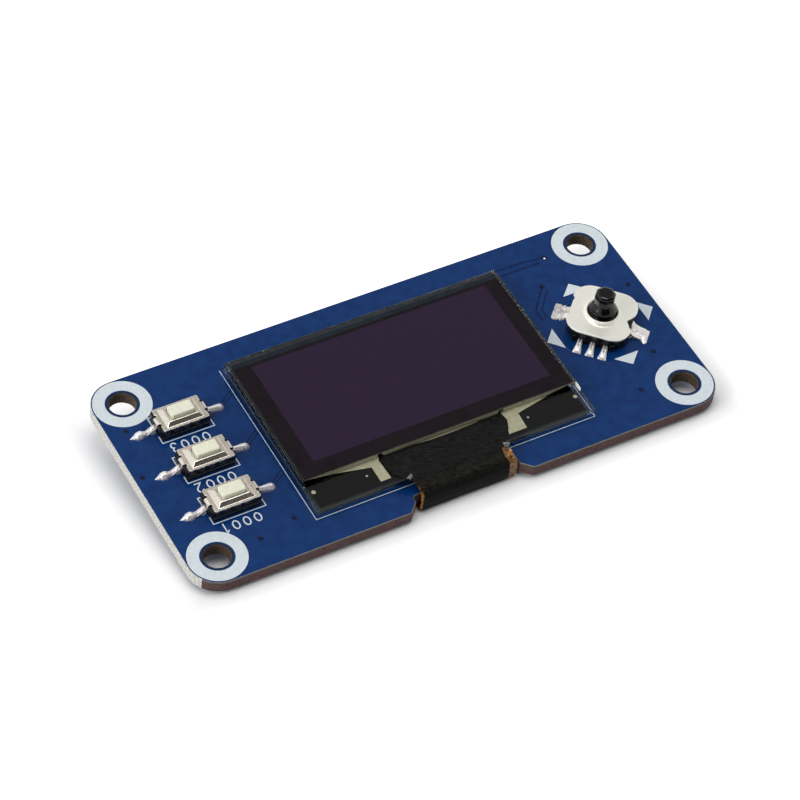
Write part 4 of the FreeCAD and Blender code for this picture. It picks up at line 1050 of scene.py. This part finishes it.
def joystick_solder(form):
    """Flared fillets with a slot over the six leads, and a spiky patch at each tab."""
    lead = [(3.5, 0.3, 0.76), (3.62, 0.34, 0.76), (3.9, 0.34, 0.64), (4.3, 0.37, 0.46), (4.7, 0.43, 0.32),
            (5.0, 0.48, 0.22), (5.2, 0.49, 0.12), (5.28, 0.46, 0.01)]
    for x, way in PITCHES:
        part = Form()
        mound(part, lead, rows=20, slot=0.75, ragged=0.06, seed=round(x / LEAD_PITCH) + way * 4.0)
        place_on(form, part, way, x)
    near_patch = [
        (3.8, 0.95, 0.42), (4.0, 1.05, 0.4), (4.3, 1.15, 0.34), (4.7, 1.2, 0.3), (5.1, 1.24, 0.24),
        (5.4, 1.2, 0.14), (5.5, 1.1, 0.01)]
    far_patch = [
        (3.6, 1.25, 0.95), (3.7, 1.1, 0.84), (3.9, 0.96, 0.6), (4.3, 0.84, 0.42), (4.7, 0.82, 0.36),
        (5.0, 0.9, 0.34), (5.3, 1.05, 0.26), (5.5, 1.05, 0.14), (5.62, 0.8, 0.01)]
    for turn, seed, patch, dull in ((0, 2.0, far_patch, 0), (2, 11.0, near_patch, 1)):
        part = Form()
        mound(part, patch, rows=40, count=40, ragged=0.22, seed=seed)
        for point in part.points:
            lumps = wobble(point.x * 2, point.y * 2, seed)
            spikes = wobble(point.x * 6, point.y * 6, seed)
            point.z *= 1 + 0.3 * lumps + 0.12 * spikes
            if not dull:
                point.y += 0.12 - 0.3 * blend(point.x, 4.2, 5.4)
        place_on(form, part, turn, paint=dull)


def joystick_collar(form):
    """The low wide flange under the cover, the wall in its hole and the small step on top."""
    flange = [(1.16, 1.36), (1.95, 1.35), (2.0, 1.38), (1.98, 1.45), (1.64, 1.48), (1.58, 1.54)]
    wall = [(1.565, 1.6), (1.56, 1.9), (1.54, 1.96), (1.5, 1.99), (1.44, 2.0), (1.42, 2.02)]
    step = [(1.41, 2.16), (1.38, 2.19), (1.34, 2.2), (1.22, 2.2), (1.18, 2.17), (1.16, 2.1), (1.16, 1.36)]
    lathe(form, flange + wall + step, 0, 96)


def joystick_stem(form):
    """The eight-sided post that widens to its cap, with a skirt above the collar and a foot inside."""
    angles = [(k + 0.5) * math.pi / 4 for k in range(8)]
    rings = []
    for z, flat in ((1.0, 0.97), (3.0, 0.97), (4.1, 1.09), (4.72, 1.11), (4.88, 1.07), (5.01, 0.96),
                    (5.08, 0.82), (5.1, 0.7)):
        reach = flat / math.cos(math.pi / 8)
        corners = [(reach * math.cos(angle), reach * math.sin(angle), 0.05) for angle in angles]
        rings.append(level(rounded(corners, 2), z))
    form.solid(rings)
    skirt = [(0.95, 2.62), (1.5, 2.62), (1.54, 2.66), (1.54, 2.74), (1.46, 2.9), (1.33, 3.1), (1.18, 3.32),
             (1.07, 3.5), (0.95, 3.52), (0.95, 2.62)]
    foot = [(0, 0.96), (0.3, 0.96), (0.35, 0.98), (0.35, 1.02), (0, 1.02)]
    lathe(form, skirt, 0, 64)
    lathe(form, foot, 0, 32)


def joystick_parts():
    for name, draw, node, body, slot, paints, crease in (
            ("base", joystick_base, "housing", "board", "black_moulding", (BLACK_PLASTIC,), 35),
            ("press_cover", joystick_cover, "cover", "board", "joystick_metal", (STICK_METAL,), 35),
            ("leads", joystick_leads, "terminals", "board", "tinned_lead", (TIN,), 35),
            ("solder_joints", joystick_solder, "solder", "board", "solder", (SOLDER, SOLDER_DULL), 70),
            ("guide_collar", joystick_collar, "collar", "joystick_guide", "stick_plastic",
             (STICK_PLASTIC,), 35),
            ("stem", joystick_stem, "post", "joystick_stick", "stick_plastic", (STICK_PLASTIC,), 35)):
        form = Form()
        draw(form)
        piece(f"joystick_{name}", form, slot, paints, f"joystick_{node}", body, STICK_AT, crease)


# Build the pieces

board_core()
board_mask()
board_traces()
hole_rings()
display_print()
joystick_print()
key_print()
display_glass()
display_seal()
display_film()
display_glue()
ledge_conductors()
flex_ribbon()
flex_tape()
for key in KEY_SPOTS:
    key_parts(key)
key_solder()
joystick_parts()


# Floor, light and camera

ROOM_LIGHT = 0.85
FLOOR_SIZE = 4.0
GLOW_START, GLOW_END = -1.0, 7.0
GLOW_LOW, GLOW_HIGH = 0.01, 0.42
FOCAL_PIXELS, PICTURE_PIXELS, SENSOR = 3308.33, 800, 36.0


def math_node(tree, kind, operation, values):
    """A plain or vector sum of values or links for the inputs in their order."""
    node = add_node(tree, kind, dict(enumerate(values)))
    node.operation = operation
    return node


def product(tree, first, second):
    return math_node(tree, "ShaderNodeMath", "MULTIPLY", (first, second)).outputs["Value"]


def larger(tree, first, second):
    return math_node(tree, "ShaderNodeMath", "MAXIMUM", (first, second)).outputs["Value"]


def floor_material():
    """Pale paint that glows to the camera away from the board, so that the shadow stays near it."""
    material, tree, shader = new_material("pale_floor")
    place = add_node(tree, "ShaderNodeNewGeometry")
    beyond = math_node(tree, "ShaderNodeVectorMath", "ABSOLUTE", (place.outputs["Position"],))
    past = math_node(tree, "ShaderNodeVectorMath", "SUBTRACT", (
        beyond.outputs["Vector"], (HALF_X * MM, HALF_Y * MM, 0)))
    split = add_node(tree, "ShaderNodeSeparateXYZ", {"Vector": past.outputs["Vector"]})
    away = larger(tree, split.outputs["X"], split.outputs["Y"])
    glow = map_range(tree, away, (GLOW_START * MM, GLOW_END * MM), (GLOW_LOW, GLOW_HIGH), smooth=True)
    seen = node_output(tree, "ShaderNodeLightPath", "Is Camera Ray")
    set_inputs(tree, shader, {
        "Base Color": (0.95, 0.95, 0.95, 1), "Roughness": 0.9, "Specular IOR Level": 0.0,
        "Emission Color": (1, 1, 1, 1), "Emission Strength": product(tree, glow, seen)})
    choose = node_output(tree, "ShaderNodeMixShader", "Shader", {
        "Fac": place.outputs["Backfacing"], 1: shader.outputs["BSDF"],
        2: node_output(tree, "ShaderNodeBsdfTransparent", "BSDF")})
    set_inputs(tree, tree.nodes["Material Output"], {"Surface": choose})
    return material


def make_floor():
    """A pale floor that touches the flex's loop in front and the socket's mouth at the back."""
    header_low, header_high = box_mm("header_housing")
    front_touch = Vector((0, -13.5, -0.53))
    back_touch = Vector((0, header_high.y, header_low.z))
    slope = math.atan2(front_touch.z - back_touch.z, back_touch.y - front_touch.y)
    turn = Matrix.Translation(back_touch * MM) @ Matrix.Rotation(-slope, 4, "X")
    mesh = bpy.data.meshes.new("floor")
    corners = level(box_outline(2 * FLOOR_SIZE, 2 * FLOOR_SIZE), 0)
    mesh.from_pydata([turn @ Vector(corner) for corner in corners], [], [[0, 1, 2, 3]])
    mesh.materials.append(floor_material())
    new_object("floor", mesh)


def dark_cone(tree, direction, inner, outer, low):
    """A light level that is low within a cone about a direction (in degrees) and 1 outside it."""
    towards = math_node(tree, "ShaderNodeVectorMath", "DOT_PRODUCT", (
        node_output(tree, "ShaderNodeTexCoord", "Generated"), Vector(direction).normalized()))
    edges = (math.cos(math.radians(outer)), math.cos(math.radians(inner)))
    return map_range(tree, towards.outputs["Value"], edges, (1.0, low), smooth=True)


def make_world():
    """A soft pale room, dark in front of the object and dim where its top mirrors the camera."""
    world = bpy.data.worlds.new("studio")
    bpy.context.scene.world = world
    world.use_nodes = True
    tree = world.node_tree
    front = dark_cone(tree, (-0.06, -0.72, 0.69), 38, 50, 0.07)
    back = dark_cone(tree, (0.37, 0.54, 0.76), 13, 24, 0.4)
    room = product(tree, product(tree, front, back), ROOM_LIGHT)
    seen = node_output(tree, "ShaderNodeLightPath", "Is Camera Ray")
    set_inputs(tree, tree.nodes["Background"], {
        "Color": (1, 1, 1, 1), "Strength": larger(tree, room, seen)})


def make_lamp(name, place, power, size):
    data = bpy.data.lights.new(name, "AREA")
    data.shape = "DISK"
    data.size = size
    data.energy = power
    lamp = new_object(name, data)
    lamp.location = place
    lamp.rotation_mode = "QUATERNION"
    lamp.rotation_quaternion = (-Vector(place)).to_track_quat("-Z", "Y")


def make_camera():
    """A pinhole camera fitted to the photograph's four holes and outline."""
    data = bpy.data.cameras.new("camera")
    data.sensor_width = SENSOR
    data.lens = FOCAL_PIXELS * SENSOR / PICTURE_PIXELS
    data.clip_start, data.clip_end = 0.01, 20
    camera = new_object("camera", data)
    camera.location = Vector((-134.712, -196.781, 275.445)) * MM
    camera.rotation_euler = [math.radians(angle) for angle in (40.6817, -4.8244, -28.6508)]
    bpy.context.scene.camera = camera


make_floor()
make_world()
make_lamp("top_light", (0.07, 0.22, 1.48), 6.5, 1.0)
make_lamp("left_light", (-1.2, -0.07, 0.73), 6.5, 0.8)
make_camera()
bpy.context.scene.view_settings.view_transform = "Standard"
